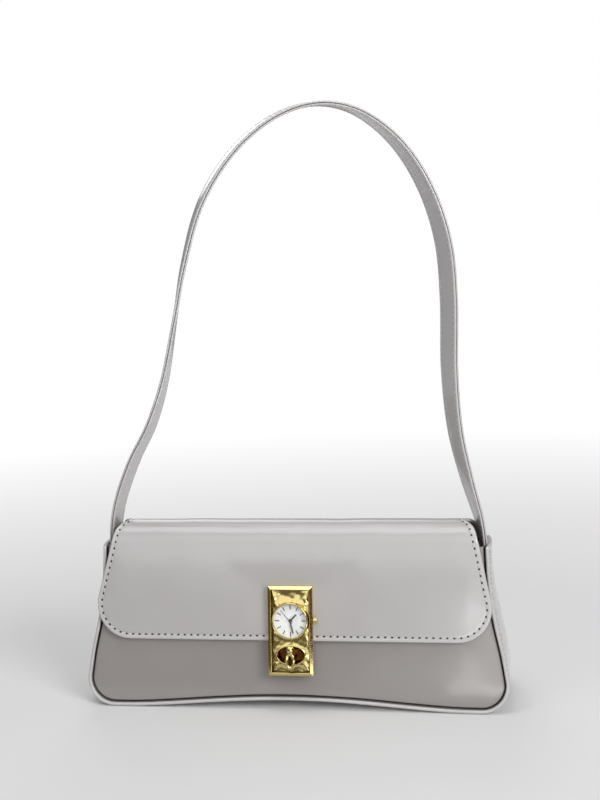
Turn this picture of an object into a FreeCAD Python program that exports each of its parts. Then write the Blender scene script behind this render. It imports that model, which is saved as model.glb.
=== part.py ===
"""Flap baguette bag with a watch on its turn lock, as a parametric FreeCAD document.

X runs across the bag, -Y is its front and Z is up, with the base standing on Z = 0. Sizes are millimetres.
Soft sheets are made by crossing a front outline with a side profile, and the lock is built in a frame of
its own that lies on the leaning face of the flap.
"""

import math
import os
from types import SimpleNamespace

import FreeCAD
import Part
import Sketcher

SIZES = {
    # Bag body
    "base_half_width": 131.0,
    "mouth_half_width": 120.5,
    "mouth_height": 99.0,
    "corner_radius": 17.0,
    "foot_inner_half": 92.0,
    "base_rise": 5.5,
    "base_half_depth": 28.8,
    "mouth_half_depth": 12.8,
    "gusset_thickness": 2.0,
    "gusset_seam_gap": 0.3,
    "edge_lip": 2.0,
    "panel_thickness": 1.2,
    "board_thickness": 1.2,
    "board_margin": 1.5,
    "board_fold_gap": 2.8,
    "base_board_thickness": 2.6,
    "base_board_end_gap": 7.0,
    "base_board_side_gap": 7.4,
    "lining_thickness": 0.6,
    "lining_gap": 0.9,
    "lining_drop": 1.0,
    "lay_gap": 0.1,
    # Flap
    "flap_rise": 14.0,
    "flap_edge_height": 42.6,
    "flap_fold_inset": 6.0,
    "flap_edge_inset": 0.7,
    "flap_lower_radius": 21.0,
    "flap_upper_radius": 19.0,
    "flap_corner_over": 1.2,
    "flap_outer_thickness": 1.4,
    "flap_lining_thickness": 0.8,
    "flap_gap": 2.4,
    "fold_gap": 0.3,
    # Strap
    "strap_width": 16.0,
    "strap_set_back": 2.0,
    "strap_layer_thickness": 1.35,
    "strap_swing_rise": 16.0,
    "strap_swing_gap": 0.3,
    "strap_swing_limit": 75.0,
    "strap_end_depth": 23.0,
    # Lock plate and backing
    "lock_rise": 6.8,
    "plate_width": 27.4,
    "plate_length": 54.3,
    "plate_corner": 1.6,
    "plate_thickness": 4.6,
    "rim_width": 1.6,
    "rim_rise": 1.0,
    "rim_bevel": 0.7,
    "sunk_corner": 0.8,
    "slot_from_edge": 12.35,
    "slot_width": 17.0,
    "slot_height": 10.8,
    "backing_margin": 1.2,
    "backing_reach": 2.7,
    "backing_thickness": 1.0,
    "screw_radius": 0.8,
    "screw_head_radius": 1.5,
    "screw_head_height": 0.5,
    "screw_depth": 2.6,
    "screw_side_edge": 3.1,
    "screw_top_edge": 6.2,
    "screw_below_dial": 9.8,
    # Watch
    "dial_offset": 6.2,
    "dial_gap": 0.15,
    "dial_thickness": 0.4,
    "dial_sink": 1.0,
    "case_radius": 11.0,
    "case_wall": 0.45,
    "bezel_overlap": 0.7,
    "bezel_rise": 2.2,
    "bezel_slope": 1.0,
    "bezel_lip": 0.45,
    "bezel_lip_height": 0.25,
    "crystal_thickness": 1.0,
    "movement_gap": 1.55,
    "cell_radius": 3.4,
    "cell_thickness": 1.6,
    "cell_offset": 4.6,
    "marker_count": 12,
    "marker_length": 2.7,
    "marker_width": 0.55,
    "marker_height": 0.2,
    "marker_margin": 0.9,
    "hand_thickness": 0.2,
    "hand_pitch": 0.5,
    "hand_root": 1.8,
    "hour_hand_margin": 5.0,
    "minute_hand_margin": 2.6,
    "second_hand_margin": 1.8,
    "hour_hand_width": 0.9,
    "minute_hand_width": 0.8,
    "second_hand_width": 0.35,
    "hand_tail": 2.0,
    "hour_hand_angle": 43.5,
    "minute_hand_angle": 167.0,
    "second_hand_angle": 318.0,
    "arbor_radius": 0.25,
    "pipe_wall": 0.3,
    "pipe_gap": 0.1,
    "crown_radius": 1.9,
    "crown_length": 2.2,
    "crown_gap": 0.4,
    "crown_height": 2.3,
    "crown_flutes": 16,
    "flute_radius": 0.22,
    "stem_radius": 0.5,
    "stem_gap": 0.1,
    "stem_inner_end": 6.5,
    "stem_cap": 0.5,
    # Turn knob and its base
    "boss_side_gap": 1.8,
    "boss_end_gap": 1.3,
    "boss_top": 1.4,
    "base_flange_side": 3.3,
    "base_flange_end": 2.4,
    "base_flange_thickness": 1.2,
    "rivet_radius": 0.8,
    "rivet_head_radius": 1.3,
    "rivet_head_height": 0.15,
    "rivet_outset": 1.6,
    "washer_thickness": 0.6,
    "knob_length": 14.4,
    "knob_width": 6.4,
    "knob_thickness": 4.0,
    "knob_rounding": 1.5,
    "knob_stand": 0.6,
    "post_radius": 2.3,
    "post_gap": 0.3,
    "knob_stem_radius": 1.4,
    "running_gap": 0.1,
    "soft_gap": 0.3,
    "hole_gap": 0.1,
    # Cutting frames reach past everything
    "trim_reach": 600.0,
}

# The middle of the strap's loop, from the left leg over the top to the right leg (X, height over the mouth).
STRAP_ROUTE = (
    (-112.6, 25.0),
    (-89.0, 73.5),
    (-70.0, 138.0),
    (-49.5, 209.0),
    (-6.0, 256.5),
    (22.0, 265.0),
    (68.0, 243.0),
    (97.0, 183.0),
    (98.2, 105.0),
    (107.6, 41.0),
    (112.6, 23.0),
)

doc = FreeCAD.newDocument("flap_bag")
sheet = doc.addObject("Spreadsheet::Sheet", "sizes")
for row, (alias, value) in enumerate(SIZES.items(), start=1):
    sheet.set(f"A{row}", alias)
    sheet.set(f"B{row}", str(value))
    sheet.setAlias(f"B{row}", alias)
doc.recompute()
s = SimpleNamespace(**{alias: float(sheet.get(alias)) for alias in SIZES})
flap_expression = "(sizes.flap_outer_thickness + sizes.flap_lining_thickness)"
panel_expression = f"({flap_expression} + sizes.flap_gap)"
far_down = -s.trim_reach / 2
NO_TURN = FreeCAD.Rotation(0, 0, 0, 1)
SAME_PLACE = 1e-6
pieces = []


def vector(x, y, z=0.0):
    return FreeCAD.Vector(x, y, z)


# A loop is a list of tuples of flat points: two points are a line, three an arc.
def mirror(loop):
    return [tuple((-x, z) for x, z in part) for part in loop]


def turn_back(loop):
    return [tuple(reversed(part)) for part in reversed(loop)]


def polygon(*corners):
    return [(corners[i], corners[(i + 1) % len(corners)]) for i in range(len(corners))]


def joined(*chains):
    """Chains end to end, with straight lines across the gaps, closed back to the start."""
    loop = []
    for number, chain in enumerate(chains):
        following = chains[(number + 1) % len(chains)]
        loop += chain
        loop.append((chain[-1][-1], following[0][0]))
    return [part for part in loop if math.dist(part[0], part[-1]) > SAME_PLACE]


def curve(part):
    points = [vector(x, y) for x, y in part]
    return Part.LineSegment(*points) if len(points) == 2 else Part.Arc(*points)


def circle(x, y, radius):
    return Part.Circle(vector(x, y), vector(0, 0, 1), radius)


def ellipse(x, y, width, height):
    return Part.Ellipse(vector(x, y), width / 2, height / 2)


def new_body(label, keep=True):
    body = doc.addObject("PartDesign::Body", label)
    body.Label = label
    if keep:
        pieces.append(body)
    return body


def draw(body, role, loops=(), rounds=(), offset=None):
    """A sketch on one of the body's own origin planes, its loops tied corner to corner."""
    sketch = body.newObject("Sketcher::SketchObject", body.Label + "_sketch")
    plane = next(f for f in body.Origin.OriginFeatures if f.Role == role)
    sketch.AttachmentSupport = [(plane, "")]
    sketch.MapMode = "FlatFace"
    if offset is not None:
        sketch.AttachmentOffset = offset
    for loop in loops:
        first = sketch.GeometryCount
        for part in loop:
            sketch.addGeometry(curve(part), False)
        for i in range(len(loop)):
            tie_corner(sketch, first + i, first + (i + 1) % len(loop), loop[i][-1])
    for shape in rounds:
        sketch.addGeometry(shape, False)
    return sketch


def tie_corner(sketch, before, after, corner):
    ends = []
    for index in (before, after):
        near = [p for p in (1, 2) if (sketch.getPoint(index, p) - vector(*corner)).Length < SAME_PLACE]
        ends.append(near[0])
    sketch.addConstraint(Sketcher.Constraint("Coincident", before, ends[0], after, ends[1]))


def pad(body, sketch, length, symmetric=False, reverse=False):
    feature = body.newObject("PartDesign::Pad", body.Label + "_pad")
    feature.Profile = sketch
    feature.setExpression("Length", length)
    feature.SideType = "Symmetric" if symmetric else "One side"
    feature.Reversed = reverse
    return feature


def cut_through(body, sketch):
    feature = body.newObject("PartDesign::Pocket", body.Label + "_cut")
    feature.Profile = sketch
    feature.Type = "ThroughAll"
    feature.SideType = "Symmetric"
    return feature


def cut_depth(body, sketch, depth, reverse=False):
    feature = body.newObject("PartDesign::Pocket", body.Label + "_pocket")
    feature.Profile = sketch
    feature.setExpression("Length", depth)
    feature.Reversed = reverse
    return feature


def lift(sketch, height):
    """Raise a sketch off its plane by an expression of the sheet's sizes."""
    sketch.setExpression("AttachmentOffset.Base.z", height)
    return sketch


frame_loop = polygon(
    (-s.trim_reach, -s.trim_reach),
    (s.trim_reach, -s.trim_reach),
    (s.trim_reach, s.trim_reach),
    (-s.trim_reach, s.trim_reach),
)


def crossed_sheet(label, outline, profile, keep=True):
    """A sheet with this outline from the front (X, Z) and this profile from the side (Y, Z)."""
    body = new_body(label, keep)
    pad(body, draw(body, "XZ_Plane", [outline]), "2 * sizes.trim_reach", symmetric=True)
    cut_through(body, draw(body, "YZ_Plane", [frame_loop, profile]))
    return body


flap_top_height = s.mouth_height + s.flap_rise
strap_swing_height = s.mouth_height + s.strap_swing_rise
lock_height = s.flap_edge_height + s.lock_rise
slot_offset = s.slot_from_edge - s.plate_length / 2

# Front outline of the body: an arched base on two flat feet, round corners and leaning sides.
corner_x = s.base_half_width - s.corner_radius
to_mouth = (s.mouth_half_width - corner_x, s.mouth_height - s.corner_radius)
side_lean = math.asin(s.corner_radius / math.hypot(*to_mouth)) - math.atan2(*to_mouth)
arch_radius = (s.foot_inner_half**2 + s.base_rise**2) / (2 * s.base_rise)


def half_width(height, inset):
    reach = s.corner_radius - inset - (height - s.corner_radius) * math.sin(side_lean)
    return corner_x + reach / math.cos(side_lean)


def arch_height(x, inset):
    return s.base_rise - arch_radius + math.sqrt((arch_radius + inset) ** 2 - x**2)


def corner_point(center, radius, angle):
    return (center[0] + radius * math.cos(angle), center[1] + radius * math.sin(angle))


def base_half(inset, start, end):
    """The base line to the right of the middle, from X = start to X = end on the foot."""
    foot_x = math.sqrt(s.base_rise * (2 * arch_radius + 2 * inset - s.base_rise))
    middle = (start + foot_x) / 2
    arch = tuple((x, arch_height(x, inset)) for x in (start, middle, foot_x))
    return [arch, (arch[-1], (end, inset))]


def half_chain(inset, start, top):
    """The outline from the base at X = start round the right corner and up to the top."""
    center, radius = (corner_x, s.corner_radius), s.corner_radius - inset
    angles = (-math.pi / 2, (side_lean - math.pi / 2) / 2, side_lean)
    corner = tuple(corner_point(center, radius, angle) for angle in angles)
    side = (corner[-1], (half_width(top, inset), top))
    return base_half(inset, start, corner_x) + [corner, side]


def outline(inset, top):
    chain = half_chain(inset, 0.0, top)
    return joined(chain, turn_back(mirror(chain)))


# Side profile: front and back lean in to the mouth, and the flap folds over it in one arc.
lean = math.atan((s.base_half_depth - s.mouth_half_depth) / s.mouth_height)
flap_thickness = s.flap_outer_thickness + s.flap_lining_thickness
flap_out = s.flap_gap + flap_thickness
fold_y = -flap_out / (2 * math.cos(lean))
fold_reach = s.base_half_depth - fold_y
fold_z = (flap_top_height - math.cos(lean) * fold_reach) / (1 - math.sin(lean))
fold_radius = flap_top_height - fold_z
hinge_z = fold_z + fold_radius * math.sin(lean)
hinge_reach = fold_radius * math.cos(lean)


def flap_outline():
    """The flap from the front, folded over the top: leaning sides and four round corners."""
    run = hinge_z - s.flap_edge_height
    fold_half_width = half_width(hinge_z, s.flap_fold_inset)
    corner_top = flap_top_height + s.flap_corner_over
    tilt = math.atan((half_width(s.flap_edge_height, s.flap_edge_inset) - fold_half_width) / run)
    corners = (
        (s.flap_edge_height + s.flap_lower_radius, s.flap_lower_radius, -math.pi / 2, tilt),
        (corner_top - s.flap_upper_radius, s.flap_upper_radius, tilt, math.pi / 2),
    )
    chains = []
    for height, radius, first, last in corners:
        edge = fold_half_width + (hinge_z - height) * math.tan(tilt)
        center = (edge - radius / math.cos(tilt), height)
        angles = (first, (first + last) / 2, last)
        chains.append([tuple(corner_point(center, radius, angle) for angle in angles)])
    right = joined(*chains)[:-1]
    return joined(right, turn_back(mirror(right)))


def front_y(out, height):
    """Where a face that stands out mm off the front panel is at this height; the back mirrors it."""
    return -(s.base_half_depth - height * math.tan(lean)) - out / math.cos(lean)


def front_band(inner, outer, bottom, top):
    return polygon(
        (front_y(inner, bottom), bottom),
        (front_y(outer, bottom), bottom),
        (front_y(outer, top), top),
        (front_y(inner, top), top),
    )


def wedge(out, bottom, top):
    """Everything between the two leaning faces that stand out mm off the panels."""
    low, high = front_y(out, bottom), front_y(out, top)
    return polygon((low, bottom), (-low, bottom), (-high, top), (high, top))


def hanging_band(depth, thickness, back=False):
    """A straight sheet that hangs from a fold line, cut square to itself just under the fold."""
    down = (-math.sin(lean), -math.cos(lean))
    inward = (math.cos(lean), -math.sin(lean))
    corners = []
    for along, into in ((0, 0), (1, 0), (1, 1), (0, 1)):
        run = -far_down if along else s.fold_gap
        sink = depth + into * thickness
        y = -hinge_reach + run * down[0] + sink * inward[0]
        z = hinge_z + run * down[1] + sink * inward[1]
        corners.append((fold_y - y if back else fold_y + y, z))
    return polygon(*corners)


def fold_band(depth, thickness):
    angles = (lean, math.pi / 2, math.pi - lean)
    center = (fold_y, fold_z)
    arcs = []
    for sink in (depth, depth + thickness):
        arcs.append([tuple(corner_point(center, fold_radius - sink, angle) for angle in angles)])
    return joined(arcs[0], turn_back(arcs[1]))


# The lock frame: origin at the plate's middle on the flap, X across, Y up the flap, Z out of it.
lock_origin = (front_y(flap_out, lock_height), lock_height)
lean_degrees = math.degrees(lean)
lock_frame = FreeCAD.Placement(
    vector(0, *lock_origin),
    FreeCAD.Rotation(vector(1, 0, 0), 90 - lean_degrees),
)
lock_on_front = FreeCAD.Placement(
    vector(0, lock_origin[1], -lock_origin[0]),
    FreeCAD.Rotation(vector(1, 0, 0), -lean_degrees),
)
panel_face = -flap_out
washer_face = panel_face - s.panel_thickness - s.board_thickness
boss_size = (s.slot_width - 2 * s.boss_side_gap, s.slot_height - 2 * s.boss_end_gap)
flange_size = (boss_size[0] + 2 * s.base_flange_side, boss_size[1] + 2 * s.base_flange_end)
rivet_spots = [(side * (boss_size[0] / 2 + s.rivet_outset), slot_offset) for side in (-1, 1)]
screw_reach = s.plate_width / 2 - s.screw_side_edge
screw_rows = (s.dial_offset - s.screw_below_dial, s.plate_length / 2 - s.screw_top_edge)
screw_spots = [(side * screw_reach, row) for side in (-1, 1) for row in screw_rows]
dial_radius = s.case_radius - s.case_wall - s.dial_gap
movement_radius = s.case_radius - s.case_wall - s.movement_gap
movement_top = "(sizes.plate_thickness - sizes.dial_sink - sizes.dial_thickness)"


def pierce_for_knob(body):
    holes = [circle(x, y, s.rivet_radius + s.hole_gap) for x, y in rivet_spots]
    holes.append(circle(0, slot_offset, s.knob_stem_radius + s.soft_gap))
    cut_through(body, draw(body, "XZ_Plane", rounds=holes, offset=lock_on_front))


def pierce_for_watch(body):
    holes = [circle(x, y, s.screw_radius + s.hole_gap) for x, y in screw_spots]
    holes.append(circle(0, s.dial_offset, movement_radius + s.hole_gap))
    cut_through(body, draw(body, "XZ_Plane", rounds=holes, offset=lock_on_front))


def build_walls():
    front = crossed_sheet(
        "front_panel",
        outline(s.gusset_thickness, s.mouth_height),
        front_band(-s.panel_thickness, 0, far_down, s.mouth_height),
    )
    pierce_for_knob(front)
    crossed_sheet(
        "back_panel",
        outline(s.gusset_thickness, flap_top_height),
        hanging_band(0, s.panel_thickness, back=True),
    )
    board_in = s.panel_thickness + s.board_thickness
    board_inset = s.gusset_thickness + s.board_margin
    board = crossed_sheet(
        "front_board",
        outline(board_inset, s.mouth_height - s.board_margin),
        front_band(-board_in, -s.panel_thickness, far_down, s.mouth_height),
    )
    pierce_for_knob(board)
    behind = mirror(front_band(-board_in, -s.panel_thickness, far_down, hinge_z))
    crossed_sheet("back_board", outline(board_inset, hinge_z - s.board_fold_gap), behind)


def build_gussets():
    """Two strips, sewn together under the base, whose edges stand proud of the panels as a lip."""
    profile = wedge(s.edge_lip, far_down, s.mouth_height)
    seam = s.gusset_seam_gap / 2
    outside = half_chain(0.0, seam, s.mouth_height)
    inside = half_chain(s.gusset_thickness, seam, s.mouth_height)
    right = joined(outside, turn_back(inside))
    crossed_sheet("gusset_right", right, profile)
    crossed_sheet("gusset_left", mirror(right), profile)


def build_base_board():
    lower_inset = s.gusset_thickness + s.lay_gap
    half_length = corner_x - s.base_board_end_gap
    lower = base_half(lower_inset, 0.0, half_length)
    upper = base_half(lower_inset + s.base_board_thickness, 0.0, half_length)
    body = new_body("base_board")
    whole = joined(lower, turn_back(upper) + mirror(upper), turn_back(mirror(lower)))
    half_depth = "sizes.base_half_depth - sizes.panel_thickness - sizes.board_thickness"
    depth = f"2 * ({half_depth} - sizes.base_board_side_gap)"
    pad(body, draw(body, "XZ_Plane", [whole]), depth, symmetric=True)


def build_lining():
    """A sewn sack that follows the walls inside, open at the mouth."""
    room = s.gusset_thickness + 2 * s.strap_layer_thickness + s.lining_gap
    behind = s.panel_thickness + s.board_thickness + s.lining_gap
    top = s.mouth_height - s.lining_drop
    outside = crossed_sheet("lining_outside", outline(room, top), wedge(-behind, far_down, top), keep=False)
    inside = crossed_sheet(
        "lining_inside",
        outline(room + s.lining_thickness, s.mouth_height),
        wedge(-behind - s.lining_thickness, far_down, s.mouth_height),
        keep=False,
    )
    lining = doc.addObject("Part::Cut", "lining")
    lining.Base = outside
    lining.Tool = inside
    pieces.append(lining)


def build_flap():
    shape = flap_outline()
    layers = ((0.0, s.flap_outer_thickness, "outer"),)
    layers += ((s.flap_outer_thickness, s.flap_lining_thickness, "lining"),)
    for depth, thickness, name in layers:
        crossed_sheet("flap_top_" + name, shape, fold_band(depth, thickness))
        front = crossed_sheet("flap_" + name, shape, hanging_band(depth, thickness))
        pierce_for_watch(front)


# The strap: arcs that run smoothly through the route's points, offset for each layer.
def unit(x, z):
    length = math.hypot(x, z)
    return (x / length, z / length)


def arc_from(start, direction, end):
    """The arc that leaves start this way and meets end: (start, end, center, radius to the left)."""
    normal = (-direction[1], direction[0])
    chord = (end[0] - start[0], end[1] - start[1])
    radius = (chord[0] ** 2 + chord[1] ** 2) / (2 * (normal[0] * chord[0] + normal[1] * chord[1]))
    return (start, end, (start[0] + radius * normal[0], start[1] + radius * normal[1]), radius)


def biarc(start, leaving, end, arriving):
    """Two arcs that meet in one tangent and have these directions at their ends."""
    chord = (end[0] - start[0], end[1] - start[1])
    both = (leaving[0] + arriving[0], leaving[1] + arriving[1])
    along = chord[0] * both[0] + chord[1] * both[1]
    spread = 2 * (1 - leaving[0] * arriving[0] - leaving[1] * arriving[1])
    reach = (-along + math.sqrt(along**2 + spread * (chord[0] ** 2 + chord[1] ** 2))) / spread
    meet = tuple((start[i] + end[i] + reach * (leaving[i] - arriving[i])) / 2 for i in (0, 1))
    second = arc_from(end, (-arriving[0], -arriving[1]), meet)
    return [arc_from(start, leaving, meet), (meet, end, second[2], -second[3])]


def strap_inset(layer_reach):
    """How far the strap's middle lies inside the gusset's outer face where it runs down beside it."""
    return s.gusset_thickness + s.lay_gap + layer_reach


def strap_arcs():
    middle = strap_inset(s.strap_layer_thickness)
    low = strap_swing_height - s.strap_width / 2 - s.strap_swing_gap
    route = [(x, s.mouth_height + rise) for x, rise in STRAP_ROUTE]
    points = [(-half_width(low, middle), low), *route, (half_width(low, middle), low)]
    ways = [(math.sin(side_lean), math.cos(side_lean))]
    for before, after in zip(points, points[2:]):
        ways.append(unit(after[0] - before[0], after[1] - before[1]))
    ways.append((math.sin(side_lean), -math.cos(side_lean)))
    arcs = []
    for i in range(len(points) - 1):
        arcs += biarc(points[i], ways[i], points[i + 1], ways[i + 1])
    return arcs


def beside(arcs, out):
    """The arcs moved out mm to the outside of the loop."""
    chain = []
    for start, end, center, radius in arcs:
        share = (radius - out) / radius
        ends = [tuple(center[i] + (p[i] - center[i]) * share for i in (0, 1)) for p in (start, end)]
        toward = unit(start[0] + end[0] - 2 * center[0], start[1] + end[1] - 2 * center[1])
        reach = abs(radius - out)
        middle = (center[0] + toward[0] * reach, center[1] + toward[1] * reach)
        chain.append((ends[0], middle, ends[1]))
    return chain


def set_strap_back(body):
    body.setExpression("Placement.Base.y", "sizes.strap_set_back")


def build_strap():
    arcs = strap_arcs()
    half = s.strap_width / 2
    pivot = strap_swing_height
    low = pivot + far_down
    below_ends = [
        ((-s.trim_reach, pivot), (-half, pivot)),
        ((-half, pivot), (0, pivot - half), (half, pivot)),
        ((half, pivot), (s.trim_reach, pivot)),
        ((s.trim_reach, pivot), (s.trim_reach, low)),
        ((s.trim_reach, low), (-s.trim_reach, low)),
        ((-s.trim_reach, low), (-s.trim_reach, pivot)),
    ]
    spans = (("strap_outer", s.lay_gap / 2, s.strap_layer_thickness),)
    spans += (("strap_inner", -s.strap_layer_thickness, -s.lay_gap / 2),)
    for label, inner, outer in spans:
        body = new_body(label)
        band = joined(beside(arcs, outer), turn_back(beside(arcs, inner)))
        pad(body, draw(body, "XZ_Plane", [band]), "sizes.strap_width", symmetric=True)
        cut_through(body, draw(body, "YZ_Plane", [below_ends]))
        set_strap_back(body)


def build_strap_ends():
    """The ends of the strap, sewn between gusset and lining, up to the line where the loop swings."""
    near = s.gusset_thickness + s.lay_gap
    far = near + 2 * s.strap_layer_thickness
    low, high = s.mouth_height - s.strap_end_depth, strap_swing_height
    right = polygon(
        (half_width(low, near), low),
        (half_width(high, near), high),
        (half_width(high, far), high),
        (half_width(low, far), low),
    )
    pivot = (0.0, strap_swing_height)
    radius = s.strap_width / 2 + s.strap_swing_gap
    limit = math.radians(s.strap_swing_limit)
    touch = corner_point(pivot, radius, -limit)
    clear = corner_point(touch, s.trim_reach, math.pi / 2 - limit)
    seat_bottom = corner_point(pivot, radius, -math.pi / 2)
    flank = [(touch, clear)]
    swing = joined([((-touch[0], touch[1]), seat_bottom, touch)], flank, turn_back(mirror(flank)))
    for label, shape in (("strap_end_right", right), ("strap_end_left", mirror(right))):
        body = new_body(label)
        pad(body, draw(body, "XZ_Plane", [shape]), "sizes.strap_width", symmetric=True)
        cut_through(body, draw(body, "YZ_Plane", [swing]))
        set_strap_back(body)


def rounded_rectangle(width, length, radius, middle=0.0):
    x, y = width / 2 - radius, length / 2 - radius
    quarter = math.pi / 2
    corners = []
    for number, (cx, cy) in enumerate(((x, y), (-x, y), (-x, -y), (x, -y))):
        angles = [(number + share) * quarter for share in (0, 0.5, 1)]
        corners.append([tuple(corner_point((cx, cy + middle), radius, angle) for angle in angles)])
    return joined(*corners)


def stadium(width, length, middle):
    """A vertical bar with round ends."""
    radius = width / 2
    end = length / 2 - radius
    top = [((radius, middle + end), (0, middle + end + radius), (-radius, middle + end))]
    bottom = [((-radius, middle - end), (0, middle - end - radius), (radius, middle - end))]
    return joined(top, bottom)


def top_edges(feature, height):
    names = []
    for number, edge in enumerate(feature.Shape.Edges, start=1):
        box = edge.BoundBox
        if abs(box.ZMin - height) < SAME_PLACE and abs(box.ZMax - height) < SAME_PLACE:
            names.append(f"Edge{number}")
    return names


def seat_in_lock(body, turned=0.0):
    """Place a body, built around the lock frame's Z axis, in the bag."""
    body.Placement = lock_frame.multiply(
        FreeCAD.Placement(vector(0, 0), FreeCAD.Rotation(vector(0, 0, 1), turned))
    )


def build_lock_plate():
    """One casting: a bevelled rim, a sunk face, the watch bore and the oval slot for the knob."""
    body = new_body("lock_plate")
    rim_top = s.plate_thickness + s.rim_rise
    outer = rounded_rectangle(s.plate_width, s.plate_length, s.plate_corner)
    pad(body, draw(body, "XY_Plane", [outer]), "sizes.plate_thickness + sizes.rim_rise")
    sunk = rounded_rectangle(
        s.plate_width - 2 * s.rim_width, s.plate_length - 2 * s.rim_width, s.sunk_corner
    )
    recess = lift(draw(body, "XY_Plane", [sunk]), "sizes.plate_thickness")
    cut_depth(body, recess, "2 * sizes.rim_rise", reverse=True)
    doc.recompute()
    blank = body.Tip
    bevel = body.newObject("PartDesign::Chamfer", "lock_plate_bevel")
    bevel.Base = (blank, outer_rim(blank, rim_top))
    bevel.setExpression("Size", "sizes.rim_bevel")
    openings = [circle(0, s.dial_offset, s.case_radius + s.hole_gap)]
    openings.append(ellipse(0, slot_offset, s.slot_width, s.slot_height))
    cut_through(body, draw(body, "XY_Plane", rounds=openings))
    taps = [circle(x, y, s.screw_radius + s.hole_gap) for x, y in screw_spots]
    tap_sketch = draw(body, "XY_Plane", rounds=taps)
    cut_depth(body, tap_sketch, "sizes.screw_depth + sizes.hole_gap", reverse=True)
    stem = circle(s.dial_offset, s.crown_height, s.stem_radius + s.stem_gap)
    cut_depth(body, draw(body, "YZ_Plane", rounds=[stem]), "sizes.plate_width", reverse=True)
    seat_in_lock(body)


def outer_rim(feature, height):
    names = []
    for name in top_edges(feature, height):
        box = feature.Shape.getElement(name).BoundBox
        reach = max(abs(box.XMin), abs(box.XMax)) - s.plate_width / 2
        rise = max(abs(box.YMin), abs(box.YMax)) - s.plate_length / 2
        if reach > -SAME_PLACE or rise > -SAME_PLACE:
            names.append(name)
    return names


def build_backing():
    body = new_body("lock_backing")
    width = s.plate_width - 2 * s.backing_margin
    length = screw_rows[1] - screw_rows[0] + 2 * s.backing_reach
    edge = rounded_rectangle(width, length, s.plate_corner, sum(screw_rows) / 2)
    holes = [circle(x, y, s.screw_radius + s.hole_gap) for x, y in screw_spots]
    level = f"-{flap_expression} - sizes.backing_thickness"
    pad(body, lift(draw(body, "XY_Plane", [edge], holes), level), "sizes.backing_thickness")
    seat_in_lock(body)


def headed_pins(label, spots, levels, radius, head_radius):
    """Pins along the lock frame's Z axis: a shank between two levels and a head below the lower one."""
    shank_low, shank_high, head_low = levels
    pins = []
    for x, y in spots:
        shank = Part.makeCylinder(radius, shank_high - shank_low, vector(x, y, shank_low))
        head = Part.makeCylinder(head_radius, shank_low - head_low, vector(x, y, head_low))
        pins.append(shank.fuse(head).removeSplitter())
    group = doc.addObject("Part::Feature", label)
    group.Shape = Part.makeCompound(pins)
    group.Placement = lock_frame
    pieces.append(group)


def build_fasteners():
    backing_back = -flap_thickness - s.backing_thickness
    levels = (backing_back, s.screw_depth, backing_back - s.screw_head_height)
    headed_pins("plate_screws", screw_spots, levels, s.screw_radius, s.screw_head_radius)


def build_watch_case():
    """A turned ring: the case that lines the bore, the sloping bezel and a lip over the glass."""
    body = new_body("watch_case")
    inner = s.case_radius - s.case_wall
    face = s.plate_thickness
    bezel_radius = s.case_radius + s.bezel_overlap
    crest = face + s.bezel_rise
    lip = crest - s.bezel_lip_height
    ring = polygon(
        (inner, 0),
        (s.case_radius, 0),
        (s.case_radius, face),
        (bezel_radius, face),
        (bezel_radius, crest - s.bezel_slope),
        (bezel_radius - s.bezel_slope / 2, crest),
        (inner - s.bezel_lip, crest),
        (inner - s.bezel_lip, lip),
        (inner, lip),
    )
    to_dial = FreeCAD.Placement(vector(0, 0, -s.dial_offset), NO_TURN)
    sketch = draw(body, "XZ_Plane", [ring], offset=to_dial)
    turned = body.newObject("PartDesign::Revolution", "watch_case_turned")
    turned.Profile = sketch
    turned.ReferenceAxis = (sketch, ["V_Axis"])
    turned.Angle = 360
    stem = circle(s.dial_offset, s.crown_height, s.stem_radius + s.stem_gap)
    cut_depth(body, draw(body, "YZ_Plane", rounds=[stem]), "sizes.plate_width", reverse=True)
    seat_in_lock(body)


def disc(label, radius, level, thickness, bore=None):
    body = new_body(label)
    rounds = [circle(0, s.dial_offset, radius)]
    if bore:
        rounds.append(circle(0, s.dial_offset, bore))
    pad(body, lift(draw(body, "XY_Plane", rounds=rounds), level), thickness)
    seat_in_lock(body)
    return body


pipe_step = s.pipe_wall + s.pipe_gap
pipe_radii = [s.arbor_radius + pipe_step * order for order in (0, 1, 2)]
post_bore = pipe_radii[-1] + s.pipe_gap


def build_watch():
    crest = "sizes.plate_thickness + sizes.bezel_rise - sizes.bezel_lip_height - sizes.crystal_thickness"
    disc("crystal", s.case_radius - s.case_wall - s.hole_gap, crest, "sizes.crystal_thickness")
    disc("dial", dial_radius, movement_top, "sizes.dial_thickness", post_bore)
    body = new_body("movement")
    block = draw(body, "XY_Plane", rounds=[circle(0, s.dial_offset, movement_radius)])
    pad(body, lift(block, f"-{flap_expression}"), f"{flap_expression} + {movement_top}")
    bore = lift(draw(body, "XY_Plane", rounds=[circle(0, s.dial_offset, post_bore)]), movement_top)
    cut_depth(body, bore, "sizes.hand_root")
    cell_spot = (-s.cell_offset, s.dial_offset)
    cell = circle(*cell_spot, s.cell_radius + s.hole_gap)
    hollow = lift(draw(body, "XY_Plane", rounds=[cell]), f"-{flap_expression}")
    cut_depth(body, hollow, "sizes.cell_thickness + sizes.hole_gap", reverse=True)
    stem = circle(s.dial_offset, s.crown_height, s.stem_radius + s.stem_gap)
    way = lift(draw(body, "YZ_Plane", rounds=[stem]), "sizes.stem_inner_end - sizes.stem_gap")
    cut_depth(body, way, "sizes.plate_width", reverse=True)
    seat_in_lock(body)
    cell_body = new_body("button_cell")
    cell_sketch = draw(cell_body, "XY_Plane", rounds=[circle(*cell_spot, s.cell_radius)])
    pad(cell_body, lift(cell_sketch, f"-{flap_expression}"), "sizes.cell_thickness")
    seat_in_lock(cell_body)


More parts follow.
